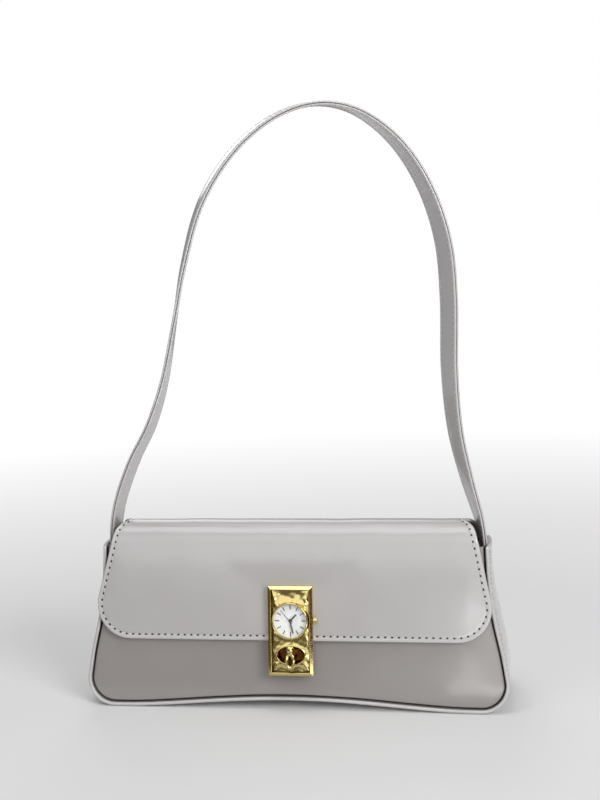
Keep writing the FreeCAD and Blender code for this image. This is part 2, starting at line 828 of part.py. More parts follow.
def build_markers():
    """Plain batons round the dial."""
    outer = dial_radius - s.marker_margin
    level = s.plate_thickness - s.dial_sink
    batons = []
    for number in range(int(s.marker_count)):
        baton = Part.makeBox(
            s.marker_width,
            s.marker_length,
            s.marker_height,
            vector(-s.marker_width / 2, outer - s.marker_length, level),
        )
        baton.rotate(vector(0, 0), vector(0, 0, 1), number * 360 / s.marker_count)
        baton.translate(vector(0, s.dial_offset))
        batons.append(baton)
    group = doc.addObject("Part::Feature", "hour_markers")
    group.Shape = Part.makeCompound(batons)
    group.Placement = lock_frame
    pieces.append(group)


def build_hand(name, order, margin, width, angle):
    """A baton on its own pipe; the pipes of the slower hands stand around those of the faster ones."""
    body = new_body(name)
    pipe = pipe_radii[order]
    level = f"sizes.plate_thickness - sizes.dial_sink + {len(pipe_radii) - order} * sizes.hand_pitch"
    root = f"{movement_top} - sizes.hand_root + sizes.pipe_gap"
    rounds = [circle(0, 0, pipe)]
    if order:
        rounds.append(circle(0, 0, pipe_radii[order - 1] + s.pipe_gap))
    tall = f"({level}) + sizes.hand_thickness - ({root})"
    pad(body, lift(draw(body, "XY_Plane", rounds=rounds), root), tall)
    tail = s.hand_tail if order == 0 else 0.0
    length = dial_radius - margin
    baton = polygon((-width / 2, -tail), (width / 2, -tail), (width / 2, length), (-width / 2, length))
    blade = lift(draw(body, "XY_Plane", [baton]), level)
    pad(body, blade, "sizes.hand_thickness")
    if order:
        bore = circle(0, 0, pipe_radii[order - 1] + s.pipe_gap)
        cut_through(body, draw(body, "XY_Plane", rounds=[bore]))
    center = FreeCAD.Placement(vector(0, s.dial_offset), FreeCAD.Rotation(vector(0, 0, 1), -angle))
    body.Placement = lock_frame.multiply(center)


def build_crown():
    """The stem slides in the case, and the fluted crown turns on its end."""
    sideways = FreeCAD.Rotation(vector(0, 1, 0), 90)
    axis = FreeCAD.Placement(vector(0, s.dial_offset, s.crown_height), sideways)
    stem = new_body("crown_stem")
    shank = lift(draw(stem, "XY_Plane", rounds=[circle(0, 0, s.stem_radius)]), "sizes.stem_inner_end")
    stem_end = "sizes.plate_width / 2 + sizes.crown_gap + sizes.crown_length - sizes.stem_cap"
    pad(stem, shank, f"{stem_end} - sizes.stem_inner_end")
    stem.Placement = lock_frame.multiply(axis)
    crown = new_body("crown")
    start = "sizes.plate_width / 2 + sizes.crown_gap"
    barrel = lift(draw(crown, "XY_Plane", rounds=[circle(0, 0, s.crown_radius)]), start)
    pad(crown, barrel, "sizes.crown_length")
    bore = lift(draw(crown, "XY_Plane", rounds=[circle(0, 0, s.stem_radius + s.hole_gap)]), start)
    cut_depth(crown, bore, "sizes.crown_length - sizes.stem_cap + sizes.hole_gap", reverse=True)
    flutes = []
    for number in range(int(s.crown_flutes)):
        angle = 2 * math.pi * number / s.crown_flutes
        flutes.append(circle(*corner_point((0, 0), s.crown_radius, angle), s.flute_radius))
    cut_through(crown, draw(crown, "XY_Plane", rounds=flutes))
    crown.Placement = lock_frame.multiply(axis)


def build_knob_base():
    base = new_body("lock_base")
    flange = ellipse(0, slot_offset, *flange_size)
    flange_sketch = lift(draw(base, "XY_Plane", rounds=[flange]), f"-{panel_expression}")
    pad(base, flange_sketch, "sizes.base_flange_thickness")
    boss = ellipse(0, slot_offset, *boss_size)
    boss_sketch = lift(draw(base, "XY_Plane", rounds=[boss]), f"-{panel_expression}")
    pad(base, boss_sketch, f"{panel_expression} + sizes.boss_top")
    holes = [circle(0, slot_offset, s.knob_stem_radius + s.running_gap)]
    holes += [circle(x, y, s.rivet_radius + s.hole_gap) for x, y in rivet_spots]
    cut_through(base, draw(base, "XY_Plane", rounds=holes))
    seat_in_lock(base)
    washer = new_body("lock_washer")
    plate = ellipse(0, slot_offset, *flange_size)
    level = f"-{panel_expression} - sizes.panel_thickness - sizes.board_thickness - sizes.washer_thickness"
    pad(washer, lift(draw(washer, "XY_Plane", rounds=[plate, *holes]), level), "sizes.washer_thickness")
    seat_in_lock(washer)
    washer_back = washer_face - s.washer_thickness
    levels = (washer_back, panel_face + s.base_flange_thickness, washer_back - s.rivet_head_height)
    headed_pins("lock_rivets", rivet_spots, levels, s.rivet_radius, s.rivet_head_radius)


def build_knob():
    """The wing lies across the slot when locked; a quarter turn lines it up with the slot."""
    body = new_body("turn_knob")
    under = "sizes.plate_thickness + sizes.knob_stand"
    wing = stadium(s.knob_width, s.knob_length, 0.0)
    pad(body, lift(draw(body, "XY_Plane", [wing]), under), "sizes.knob_thickness")
    doc.recompute()
    blank = body.Tip
    crest = s.plate_thickness + s.knob_stand + s.knob_thickness
    rounding = body.newObject("PartDesign::Fillet", "turn_knob_rounding")
    rounding.Base = (blank, top_edges(blank, crest))
    rounding.setExpression("Radius", "sizes.knob_rounding")
    post = draw(body, "XY_Plane", rounds=[circle(0, 0, s.post_radius)])
    pad(body, lift(post, "sizes.boss_top + sizes.post_gap"), f"{under} - sizes.boss_top - sizes.post_gap")
    foot = f"-{panel_expression} - sizes.panel_thickness - sizes.board_thickness - sizes.washer_thickness"
    stem = lift(draw(body, "XY_Plane", rounds=[circle(0, 0, s.knob_stem_radius)]), foot)
    pad(body, stem, f"sizes.boss_top + sizes.post_gap - ({foot})")
    body.Placement = lock_frame.multiply(FreeCAD.Placement(vector(0, slot_offset), NO_TURN))


def centre_depth():
    """Move every piece so that the origin lies under the middle of the whole bag, front to back."""
    doc.recompute()
    boxes = [piece.Shape.BoundBox for piece in pieces]
    middle = (min(box.YMin for box in boxes) + max(box.YMax for box in boxes)) / 2
    for piece in pieces:
        piece.setExpression("Placement.Base.y", None)
        piece.Placement = FreeCAD.Placement(vector(0, -middle), NO_TURN).multiply(piece.Placement)
    return -middle


def write_pieces():
    doc.recompute()
    for item in doc.Objects:
        faults = [state for state in item.State if state in ("Invalid", "Error")]
        if faults:
            raise RuntimeError(f"{item.Label}: {item.State} {item.getStatusString()}")
    os.makedirs("parts", exist_ok=True)
    for piece in pieces:
        shape = piece.Shape
        if shape.isNull() or not shape.isValid() or shape.Volume <= 0:
            raise RuntimeError(f"{piece.Label} has no sound solid")
        shape.exportStep(f"parts/{piece.Label}.step")
        box = shape.BoundBox
        print(f"{piece.Label}: {len(shape.Solids)} solid, {shape.Volume:.1f} mm3, ", end="")
        print(f"x {box.XMin:.1f} {box.XMax:.1f} y {box.YMin:.1f} {box.YMax:.1f} ", end="")
        print(f"z {box.ZMin:.1f} {box.ZMax:.1f}")


build_walls()
build_gussets()
build_base_board()
build_lining()
build_flap()
build_strap()
build_strap_ends()
build_lock_plate()
build_backing()
build_fasteners()
build_watch_case()
build_watch()
build_markers()
build_hand("second_hand", 0, s.second_hand_margin, s.second_hand_width, s.second_hand_angle)
build_hand("minute_hand", 1, s.minute_hand_margin, s.minute_hand_width, s.minute_hand_angle)
build_hand("hour_hand", 2, s.hour_hand_margin, s.hour_hand_width, s.hour_hand_angle)
build_crown()
build_knob_base()
build_knob()
moved = centre_depth()
write_pieces()
print(f"moved {moved:.4f} lean {lean_degrees:.4f} fold height {hinge_z:.4f}")
print(f"back fold y {fold_y + hinge_reach + moved:.4f}, front fold y {fold_y - hinge_reach + moved:.4f}")
print(f"lock origin y {lock_origin[0] + moved:.4f} z {lock_origin[1]:.4f}")
print(f"strap swing y {s.strap_set_back + moved:.4f} z {strap_swing_height:.4f}")
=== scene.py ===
# %% [markdown]
# # A flap bag with a watch in its lock
# This lesson dresses a imported CAD model of a small shoulder bag. The CAD model gives the sizes and
# the moving parts. Here the leather gets its soft form, its seams and its stitches, and the metal
# lock gets its polish. The imported model is loaded first.

# %% Load the imported model
import math
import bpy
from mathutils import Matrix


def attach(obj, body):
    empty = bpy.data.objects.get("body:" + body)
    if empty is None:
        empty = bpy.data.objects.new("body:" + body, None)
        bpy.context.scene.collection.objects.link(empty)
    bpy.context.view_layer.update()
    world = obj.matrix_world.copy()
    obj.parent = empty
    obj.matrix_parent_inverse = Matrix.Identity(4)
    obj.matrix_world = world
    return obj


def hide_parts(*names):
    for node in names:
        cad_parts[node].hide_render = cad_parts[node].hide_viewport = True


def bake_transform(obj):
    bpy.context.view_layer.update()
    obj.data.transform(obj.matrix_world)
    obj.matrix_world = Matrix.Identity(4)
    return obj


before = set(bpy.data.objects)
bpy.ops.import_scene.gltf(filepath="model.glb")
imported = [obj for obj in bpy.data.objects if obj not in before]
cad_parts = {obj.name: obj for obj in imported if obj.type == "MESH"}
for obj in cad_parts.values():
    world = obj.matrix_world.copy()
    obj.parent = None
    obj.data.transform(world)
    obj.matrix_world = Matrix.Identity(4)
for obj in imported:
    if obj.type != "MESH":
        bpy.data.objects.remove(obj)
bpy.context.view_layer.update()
from types import SimpleNamespace
import bpy
import numpy as np
from mathutils import Matrix, Vector

# %% [markdown]
# ## The camera
# The bag is seen from a little to its right and a little above, with a slight tilt of the camera.
# A camera could be aimed with a Track To constraint, but that leaves no room for the tilt. So its
# three axes are worked out as vectors and written straight into its matrix.

# %% Place the camera
TURN, RISE, TILT = (math.radians(angle) for angle in (9.721, 9.0, -2.478))
AIM = np.array([0.007000, 0.0035125, 0.187404])
DISTANCE = 0.796

backward = np.array([math.sin(TURN) * math.cos(RISE), -math.cos(TURN) * math.cos(RISE), math.sin(RISE)])
level = np.array([math.cos(TURN), math.sin(TURN), 0.0])
upright = np.cross(backward, level)
rightward = level * math.cos(TILT) + upright * math.sin(TILT)
upward = upright * math.cos(TILT) - level * math.sin(TILT)

lens = bpy.data.cameras.new("bag_camera")
lens.sensor_fit = "VERTICAL"
lens.sensor_height = 36.0
lens.lens = 58.5
lens.clip_start = 0.01
camera = bpy.data.objects.new("bag_camera", lens)
bpy.context.scene.collection.objects.link(camera)
axes = np.column_stack([rightward, upward, backward, AIM + DISTANCE * backward])
camera.matrix_world = Matrix(np.vstack([axes, [0, 0, 0, 1]]).tolist())
bpy.context.scene.camera = camera
print("camera at", [round(value, 3) for value in camera.matrix_world.translation])

# %% [markdown]
# ## Light
# Smooth leather and polished metal are shown best by a few large soft lamps. One big lamp high on
# the right lights the front, one above gives the bright band along the fold, a weak one fills the
# left side, and one stands behind. Sun lamps could light the bag as well, but their shadows are hard.

# %% Soft lamps
LIGHT_AIM = (0, 0, 0.1)
# Place and size in metres, and watts
LAMPS = {
    "key_lamp": ((0.85, -0.85, 0.70), 0.7, 8.0),
    "fill_lamp": ((-0.9, -0.7, 0.55), 0.8, 0.35),
    "top_lamp": ((-0.1, -0.15, 1.05), 0.7, 2.5),
    "back_lamp": ((-0.3, 1.1, 0.75), 0.9, 3.4)}


def soft_lamp(name, place, size, watts):
    lamp = bpy.data.lights.new(name, "AREA")
    lamp.shape = "DISK"
    lamp.size = size
    lamp.energy = watts
    holder = bpy.data.objects.new(name, lamp)
    holder.location = place
    to_aim = Vector(LIGHT_AIM) - holder.location
    holder.rotation_euler = to_aim.to_track_quat("-Z", "Y").to_euler()
    bpy.context.scene.collection.objects.link(holder)


for name, values in LAMPS.items():
    soft_lamp(name, *values)

# %% [markdown]
# The world round the bag is white. A camera ray, a mirror ray and a ray through the glass see it at
# full strength. Every other ray meets a dimmer white, which gives the bag an even base of light
# without bleaching it. A Light Path node tells the rays apart.

# %% White background
LIT_STRENGTH = 0.34

world = bpy.data.worlds.new("studio")
bpy.context.scene.world = world
world.use_nodes = True
world_tree = world.node_tree
world_tree.nodes.clear()


def white_light(strength):
    node = world_tree.nodes.new("ShaderNodeBackground")
    node.inputs["Color"].default_value = (1, 1, 1, 1)
    node.inputs["Strength"].default_value = strength
    return node.outputs[0]


def either_ray(first, second):
    """1 where one of two ray tests holds."""
    node = world_tree.nodes.new("ShaderNodeMath")
    node.operation = "MAXIMUM"
    world_tree.links.new(first, node.inputs[0])
    world_tree.links.new(second, node.inputs[1])
    return node.outputs[0]


rays = world_tree.nodes.new("ShaderNodeLightPath").outputs
mirror_or_glass = either_ray(rays["Is Glossy Ray"], rays["Is Transmission Ray"])
choose = world_tree.nodes.new("ShaderNodeMixShader")
world_out = world_tree.nodes.new("ShaderNodeOutputWorld")
world_tree.links.new(either_ray(rays["Is Camera Ray"], mirror_or_glass), choose.inputs[0])
world_tree.links.new(white_light(LIT_STRENGTH), choose.inputs[1])
world_tree.links.new(white_light(1.0), choose.inputs[2])
world_tree.links.new(choose.outputs[0], world_out.inputs["Surface"])
bpy.context.scene.view_settings.view_transform = "Standard"
print("world nodes:", len(world_tree.nodes))

# %% [markdown]
# Polished gold and glossy leather show what they mirror, and in an all-white room they would look
# like paper. A photo studio stands cards round such things. Here dark cards stand close by on the
# left and the right, grey ones stand in front, behind and far out on both sides, and two dark ones
# lie on the floor. A bright card hangs in front like a window, and another lies on the floor at the
# right. They are seen by mirror rays alone: they neither show in the picture nor take any light away.

# %% Cards for the gloss to mirror
FLOOR_CARD_HEIGHT = 0.001


def side_card(x, front, back, low, high):
    """Corners of an upright card beside the bag."""
    return [(x, front, low), (x, back, low), (x, back, high), (x, front, high)]


def floor_card(*places):
    """Corners of a card that lies on the floor."""
    return [(x, y, FLOOR_CARD_HEIGHT) for x, y in places]


CARDS = {
    "card_left": (side_card(-0.20, -0.2, 0.2, 0, 0.12), (0.13, 0.115, 0.05)),
    "card_right": (side_card(0.21, -0.3, 0.05, 0, 0.13), (0.12, 0.035, 0.015)),
    "card_front": (
        [(-1.4, -1.2, 0), (0.1, -1.4, 0), (0.3, -1.4, 0.2), (-1.4, -1.2, 0.24)], (0.42, 0.40, 0.36)),
    "card_floor": (
        floor_card((-1.1, -1.2), (0.0, -1.3), (0.03, -0.1), (-0.5, -0.1)), (0.20, 0.17, 0.14)),
    "card_floor_left": (
        floor_card((-0.7, -0.1), (-0.15, -0.1), (-0.15, 0.3), (-0.7, 0.3)), (0.06, 0.055, 0.03)),
    "card_window": (
        [(-1.6, -1.5, 0.42), (1.2, -1.5, 0.36), (1.2, -1.2, 1.5), (-1.6, -1.2, 1.5)], (1.5, 1.5, 1.5)),
    "card_floor_pale": (
        floor_card((0.10, -1.3), (0.9, -1.2), (0.6, -0.15), (0.09, -0.1)), (4.0, 4.0, 4.0)),
    "card_behind": (
        [(-1.6, 1.3, 0.02), (1.6, 1.3, 0.02), (1.6, 0.9, 1.8), (-1.6, 0.9, 1.8)], (0.22, 0.22, 0.22)),
    "card_far_left": (side_card(-1.3, -0.9, 1.3, 0.05, 1.3), (0.30, 0.30, 0.29)),
    "card_far_right": (side_card(1.3, -0.9, 1.3, 0.05, 1.3), (0.42, 0.41, 0.40))}


def mirror_card(name, corners, light):
    mesh = bpy.data.meshes.new(name)
    mesh.from_pydata(corners, [], [(0, 1, 2, 3)])
    paint = bpy.data.materials.new(name)
    paint.use_nodes = True
    shader = paint.node_tree.nodes["Principled BSDF"]
    shader.inputs["Base Color"].default_value = (0, 0, 0, 1)
    shader.inputs["Specular IOR Level"].default_value = 0.0
    shader.inputs["Emission Color"].default_value = (*light, 1)
    shader.inputs["Emission Strength"].default_value = 1.0
    mesh.materials.append(paint)
    card = bpy.data.objects.new(name, mesh)
    bpy.context.scene.collection.objects.link(card)
    card.visible_camera = False
    card.visible_diffuse = False
    card.visible_shadow = False
    card.visible_transmission = False


for name, (corners, light) in CARDS.items():
    mirror_card(name, corners, light)

# %% [markdown]
# ## Finishes
# Every finish is a small net of nodes on one Principled shader. The first helpers make the shader
# with its plain values, add a node and join two sockets. Image textures could do what the nodes do,
# but they need unwrapping, and nodes stay sharp at any distance.

# %% Helpers for a finish and its nodes
def linear(red, green, blue):
    """A colour as a screen shows it, 0 to 255, in the linear values that the shader takes."""
    values = [value / 255 for value in (red, green, blue)]
    return tuple(v / 12.92 if v <= 0.04045 else ((v + 0.055) / 1.055) ** 2.4 for v in values)


def scaled(colour, factor):
    return tuple(value * factor for value in colour)


def shader_of(finish):
    return finish.node_tree.nodes["Principled BSDF"]


def new_finish(name, colour, roughness, **sockets):
    finish = bpy.data.materials.new(name)
    finish.use_nodes = True
    inputs = shader_of(finish).inputs
    inputs["Base Color"].default_value = (*colour, 1)
    inputs["Roughness"].default_value = roughness
    for socket, value in sockets.items():
        inputs[socket.replace("_", " ")].default_value = value
    return finish


def add_node(finish, kind, **settings):
    node = finish.node_tree.nodes.new("ShaderNode" + kind)
    for key, value in settings.items():
        if key in node.inputs:
            node.inputs[key].default_value = value
        else:
            setattr(node, key, value)
    return node


def wire(finish, source, target):
    finish.node_tree.links.new(source, target)


print("a mid grey of 128 in linear values:", round(linear(128, 128, 128)[0], 3))

# %% [markdown]
# The next helpers add what changes over a surface. A noise gives a number at each place, in the
# object's own coordinates, so that the pattern stays with the piece when it moves. A ramp turns the
# number into a colour, and a range turns it into another number.

# %% Helpers for noise, colours and ranges
def noise(finish, scale, detail=2.0, stretch=(1, 1, 1)):
    place = add_node(finish, "TexCoord")
    shape = add_node(finish, "Mapping")
    shape.inputs["Scale"].default_value = stretch
    wire(finish, place.outputs["Object"], shape.inputs["Vector"])
    grain = add_node(finish, "TexNoise", Scale=scale, Detail=detail)
    wire(finish, shape.outputs["Vector"], grain.inputs["Vector"])
    return grain.outputs["Fac"]


def ramp(finish, source, stops):
    """A colour ramp: stops are (position, linear colour)."""
    node = add_node(finish, "ValToRGB")
    band = node.color_ramp
    while len(band.elements) < len(stops):
        band.elements.new(0.5)
    for element, (position, colour) in zip(band.elements, stops):
        element.position = position
        element.color = (*colour, 1)
    wire(finish, source, node.inputs["Fac"])
    return node.outputs["Color"]


def spread(finish, source, low, high, to_low, to_high):
    """Maps a value from one range to another."""
    node = add_node(finish, "MapRange")
    ends = {"From Min": low, "From Max": high, "To Min": to_low, "To Max": to_high}
    for socket, value in ends.items():
        node.inputs[socket].default_value = value
    wire(finish, source, node.inputs["Value"])
    return node.outputs["Result"]


print("node helpers for what changes: noise, ramp, spread")

# %% [markdown]
# Four habits of real surfaces come back in many finishes, so each has its own helper: a colour that
# wanders, a gloss that is uneven, fine bands as in thread or cloth, and a bump. Most values of a noise
# lie near its middle, so only that part of its range is read.

# %% Helpers for the habits of surfaces
NOISE_LOW, NOISE_HIGH = 0.3, 0.7


def clouded(finish, dark, light, *grain):
    """Lets the colour wander between two tones."""
    tone = ramp(finish, noise(finish, *grain), [(NOISE_LOW, dark), (NOISE_HIGH, light)])
    wire(finish, tone, shader_of(finish).inputs["Base Color"])


def uneven_gloss(finish, low, high, *grain):
    """Lets the roughness wander between two values."""
    rough = spread(finish, noise(finish, *grain), NOISE_LOW, NOISE_HIGH, low, high)
    wire(finish, rough, shader_of(finish).inputs["Roughness"])


def banded(finish, dark, light, scale, distortion, direction="X"):
    """Colours the finish in fine bands and gives back their height."""
    bands = add_node(finish, "TexWave", bands_direction=direction, Scale=scale, Distortion=distortion)
    wire(finish, add_node(finish, "TexCoord").outputs["Object"], bands.inputs["Vector"])
    tone = ramp(finish, bands.outputs["Fac"], [(0.2, dark), (0.8, light)])
    wire(finish, tone, shader_of(finish).inputs["Base Color"])
    return bands.outputs["Fac"]


def bump(finish, *layers):
    """Bump from several heights: layers are (height socket, depth in metres)."""
    below = None
    for height, depth in layers:
        node = add_node(finish, "Bump", Strength=1.0, Distance=depth)
        wire(finish, height, node.inputs["Height"])
        if below is not None:
            wire(finish, below, node.inputs["Normal"])
        below = node.outputs["Normal"]
    wire(finish, below, shader_of(finish).inputs["Normal"])


print("noise is read between", NOISE_LOW, "and", NOISE_HIGH)

# %% [markdown]
# ### Smooth grey leather
# The bag is made of a smooth coated leather: a pale cool grey with a satin gloss, hardly any grain,
# and slightly uneven colour. Each leather mesh carries a number called edge, which grows with the
# distance in millimetres from its nearest edge. The finish reads it: the bottoms of seams get a painted
# shade, the edge beside them is painted pale, partly as rubbed edge paint and partly as a painted
# highlight, and a faint painted shade follows where the stitches draw the leather in.

# %% Leather finishes
EDGE_REACH = 6.0
# Up to this share of the edge's reach the leather gets the seam colour, a painted shade.
SEAM_ENDS = 0.09
# Share of the edge's reach, and how light the leather is there: pale from rubbed edge paint and painted
# highlight, then a painted shade at the stitches
EDGE_WEAR_AND_PAINTED_LIGHT = [(0.14, 1.08), (0.33, 1.08), (0.43, 0.91), (0.56, 0.95), (0.8, 0.94)]


# The seam colour is a painted shade for the bottoms of seams, the inside of the side strips and the back's
# seam, and in the strap's glue line it is partly the glue's own dark.
def leather(name, colour, roughness, seam=(0.30, 0.28, 0.28)):
    finish = new_finish(
        name, colour, roughness, Specular_IOR_Level=0.5, Coat_Weight=0.6, Coat_Roughness=0.12)
    edge = add_node(finish, "Attribute", attribute_name="edge").outputs["Fac"]
    edge_wear_and_light = ramp(finish, spread(finish, edge, 0.0, EDGE_REACH, 0.0, 1.0),
                [(0.0, seam), (SEAM_ENDS, seam)] + [(place, (tone,) * 3) for place, tone in EDGE_WEAR_AND_PAINTED_LIGHT])
    cloud = ramp(finish, noise(finish, 34.0, 3.0),
                 [(NOISE_LOW, scaled(colour, 0.98)), (NOISE_HIGH, scaled(colour, 1.02))])
    toned_by_edge = add_node(finish, "Mix", data_type="RGBA", blend_type="MULTIPLY")
    toned_by_edge.inputs[0].default_value = 1.0
    wire(finish, cloud, toned_by_edge.inputs[6])
    wire(finish, edge_wear_and_light, toned_by_edge.inputs[7])
    wire(finish, toned_by_edge.outputs[2], shader_of(finish).inputs["Base Color"])
    uneven_gloss(finish, roughness * 0.88, roughness * 1.16, 90.0, 4.0)
    bump(finish, (noise(finish, 1500.0, 3.0), 0.000012))
    return finish


grey_leather = leather("grey_leather", linear(200, 197, 197), 0.22)
# The front panel's leather is painted darker than the rest as a painted shade, and its seams get a near-black
# painted shade.
shaded_panel_leather = leather("shaded_panel_leather", linear(154, 149, 147), 0.22, seam=(0.05, 0.045, 0.045))
flap_facing = leather("flap_facing", linear(182, 177, 174), 0.62)
print("leather finishes made: 3")

# %% [markdown]
# ### Thread and needle holes
# Thread is a twisted fibre, so it gets fine bands along its length. A needle hole is drawn as a dot of
# painted shade on the leather, with a little light in it here and there. A plain black would look drawn on.

# %% Thread finishes
def thread(name, dark, light):
    finish = new_finish(name, light, 0.6)
    banded(finish, dark, light, 900.0, 0.6)
    return finish


white_thread = thread("white_thread", linear(208, 205, 203), linear(234, 232, 230))
grey_thread = thread("grey_thread", linear(190, 187, 185), linear(212, 210, 208))
# The needle hole's finish is a painted shade.
hole_shade_finish = new_finish("needle_hole_shade", linear(46, 42, 42), 0.85)
clouded(hole_shade_finish, linear(34, 31, 31), linear(62, 57, 57), 900.0)
print("thread finishes made: 2")

# %% [markdown]
# ### Gold and steel
# The lock is polished and gold-plated: a metal with a warm colour, low roughness and a few faint wipe
# marks. The walls of its grooves mirror mostly themselves and lie in shade, so they and the knob's
# hollow get a darker, redder gold as painted shade. The boss seen in the slot gets a gold with painted
# shade too. The screws and the parts inside are plain plated steel.

# %% Metal finishes
def polished(name, colour, roughness):
    finish = new_finish(name, colour, roughness, Metallic=1.0)
    uneven_gloss(finish, roughness * 0.7, roughness * 1.5, 260.0, 3.0, (1, 1, 5))
    clouded(finish, scaled(colour, 0.95), colour, 70.0)
    bump(finish, (noise(finish, 420.0), 0.000012))
    return finish


gold = polished("polished_gold", linear(208, 192, 131), 0.13)
# A darker, redder gold: painted shade for the boss seen in the slot, and for the rivets.
shaded_gold = polished("shaded_gold", linear(118, 76, 42), 0.18)
# The groove gold is a painted shade for the walls of grooves and the knob's hollow.
groove_shade_gold = polished("groove_shade_gold", linear(72, 48, 22), 0.18)
plated_steel = polished("plated_steel", linear(196, 192, 186), 0.45)
print("metal finishes made: 4")

# %% [markdown]
# ### Watch, boards and lining
# The watch has a satin white dial and near-black hands under clear glass, and a resin movement. The
# boards are pressed fibre with a streaky colour. The lining is a woven cloth: diagonal bands give its
# weave, and a slow noise gives its soft waves.

# %% Finishes of the watch and of the inside
dial_white = new_finish("dial_white", linear(216, 217, 219), 0.42)
clouded(dial_white, linear(214, 215, 217), linear(218, 219, 221), 1200.0)
hand_black = new_finish("hand_black", linear(52, 46, 42), 0.32, Metallic=0.3)
clouded(hand_black, linear(44, 39, 36), linear(66, 58, 52), 800.0)
crystal_glass = new_finish("crystal_glass", (1, 1, 1), 0.02, Transmission_Weight=1.0, IOR=1.45)
uneven_gloss(crystal_glass, 0.01, 0.035, 300.0)
movement_resin = new_finish("movement_resin", linear(78, 78, 80), 0.5)
bump(movement_resin, (noise(movement_resin, 2400.0, 3.0), 0.00002))

stiffener = new_finish("stiffener", linear(120, 104, 84), 0.85)
clouded(stiffener, linear(98, 84, 68), linear(140, 124, 102), 500.0, 4.0, (1, 1, 6))
lining_cloth = new_finish("lining_cloth", linear(122, 112, 112), 0.75, Sheen_Weight=0.25)
weave = banded(lining_cloth, linear(104, 95, 96), linear(136, 127, 126), 520.0, 1.2, "DIAGONAL")
bump(lining_cloth, (weave, 0.00012), (noise(lining_cloth, 60.0), 0.0008))
print("finishes in all:", len(bpy.data.materials))

# %% [markdown]
# ### The floor
# A plain pale floor carries the soft shadow. Far from the bag it fades into the white background,
# so that no horizon shows. It has no gloss, because it would mirror the bright cards.

# %% Make the floor
FLOOR_HALF, FLOOR_DROP = 4, 0.0002
FADE_FROM, FADE_TO = 0.25, 0.9

floor_mesh = bpy.data.meshes.new("pale_floor")
floor_corners = [(x * FLOOR_HALF, y * FLOOR_HALF, 0) for x, y in ((-1, -1), (1, -1), (1, 1), (-1, 1))]
floor_mesh.from_pydata(floor_corners, [], [(0, 1, 2, 3)])
floor = bpy.data.objects.new("pale_floor", floor_mesh)
floor.location.z = -FLOOR_DROP
bpy.context.scene.collection.objects.link(floor)

floor_paint = new_finish("floor_paint", (0.86, 0.86, 0.86), 0.9, Specular_IOR_Level=0.0)
glow = add_node(floor_paint, "Emission", Strength=1.0)
far = add_node(floor_paint, "VectorMath", operation="LENGTH")
wire(floor_paint, add_node(floor_paint, "TexCoord").outputs["Object"], far.inputs[0])
fade = add_node(floor_paint, "Math", operation="MULTIPLY")
wire(floor_paint, spread(floor_paint, far.outputs["Value"], FADE_FROM, FADE_TO, 0.0, 1.0), fade.inputs[0])
wire(floor_paint, add_node(floor_paint, "LightPath").outputs["Is Camera Ray"], fade.inputs[1])
mix = add_node(floor_paint, "MixShader")
wire(floor_paint, fade.outputs[0], mix.inputs[0])
wire(floor_paint, shader_of(floor_paint).outputs[0], mix.inputs[1])
wire(floor_paint, glow.outputs[0], mix.inputs[2])
wire(floor_paint, mix.outputs[0], floor_paint.node_tree.nodes["Material Output"].inputs["Surface"])
floor_mesh.materials.append(floor_paint)
print("floor at z", round(floor.location.z, 4))

# %% [markdown]
# ## The bag's outline
# Seen from the front, the body is a shallow box with rounded lower corners, sides that lean in, and
# an underside that arches up between two feet. Seen from the side it is a wedge. These few numbers
# repeat the CAD model, in millimetres, and the functions give the outline at any height. The soft
# sides are drawn in a little between base and mouth, which the table called WAIST gives.

# %% Outline of the body
BASE_HALF, MOUTH_HALF, MOUTH, CORNER = 131.0, 120.5, 99.0, 17.0
FOOT, FOOT_SWING, ARCH = 92.0, 18.0, 5.5
BASE_DEEP, MOUTH_DEEP = 28.8, 12.8
MIDDLE = 3.5125
LEAN = math.atan((BASE_DEEP - MOUTH_DEEP) / MOUTH)
CORNER_X = BASE_HALF - CORNER
SIDE_LEAN = (math.asin(CORNER / math.hypot(MOUTH_HALF - CORNER_X, MOUTH - CORNER))
             - math.atan2(MOUTH_HALF - CORNER_X, MOUTH - CORNER))
WAIST = np.array([
    (18, 0), (34, 0.5), (50, 2.1), (60, 2.8), (70, 2.8), (82, 2.3), (92, 1.4), (99, 0.6)])


def from_table(value, table):
    """Reads a table of (place, amount) rows at a value that may lie between two rows."""
    return np.interp(value, *np.array(table).T)


def half_width(height, inset=0.0):
    height = np.asarray(height, float)
    radius = CORNER - inset
    side = CORNER_X + (radius - (height - CORNER) * math.sin(SIDE_LEAN)) / math.cos(SIDE_LEAN)
    corner = CORNER_X + np.sqrt(np.clip(radius ** 2 - (height - CORNER) ** 2, 0, None))
    in_corner = height < CORNER + radius * math.sin(SIDE_LEAN)
    return np.where(in_corner, corner, side) - from_table(height, WAIST)


def arch_lift(x):
    """How far the underside rises above the feet, in one smooth swing."""
    return ARCH * np.clip(1 - (np.asarray(x) / (FOOT + FOOT_SWING)) ** 2, 0, None) ** 2


def front_y(out, height):
    return MIDDLE - (BASE_DEEP - height * math.tan(LEAN)) - out / math.cos(LEAN)


def back_y(out, height):
    return 2 * MIDDLE - front_y(out, height)


def ripple(x, z):
    """The faint unevenness of soft leather, a tenth of a millimetre or so."""
    return (0.10 * np.sin(x / 17.0 + 0.6) * np.sin(z / 13.0 + 1.1) + 0.07 * np.sin(x / 9.0 - z / 11.0)
            + 0.05 * np.sin(x / 5.3 + z / 7.1 + 2.0))


print("half width at the mouth:", round(float(half_width(MOUTH)), 2))

# %% [markdown]
# ## From points to pieces
# Everything that follows is worked out as points in millimetres. A modelling modifier could give some
# of it, but plain points can be shaped one by one. These helpers make the faces of a grid and of a
# tube, measure normals, and give the gentle runs from 0 to 1 that shape the leather and the metal.

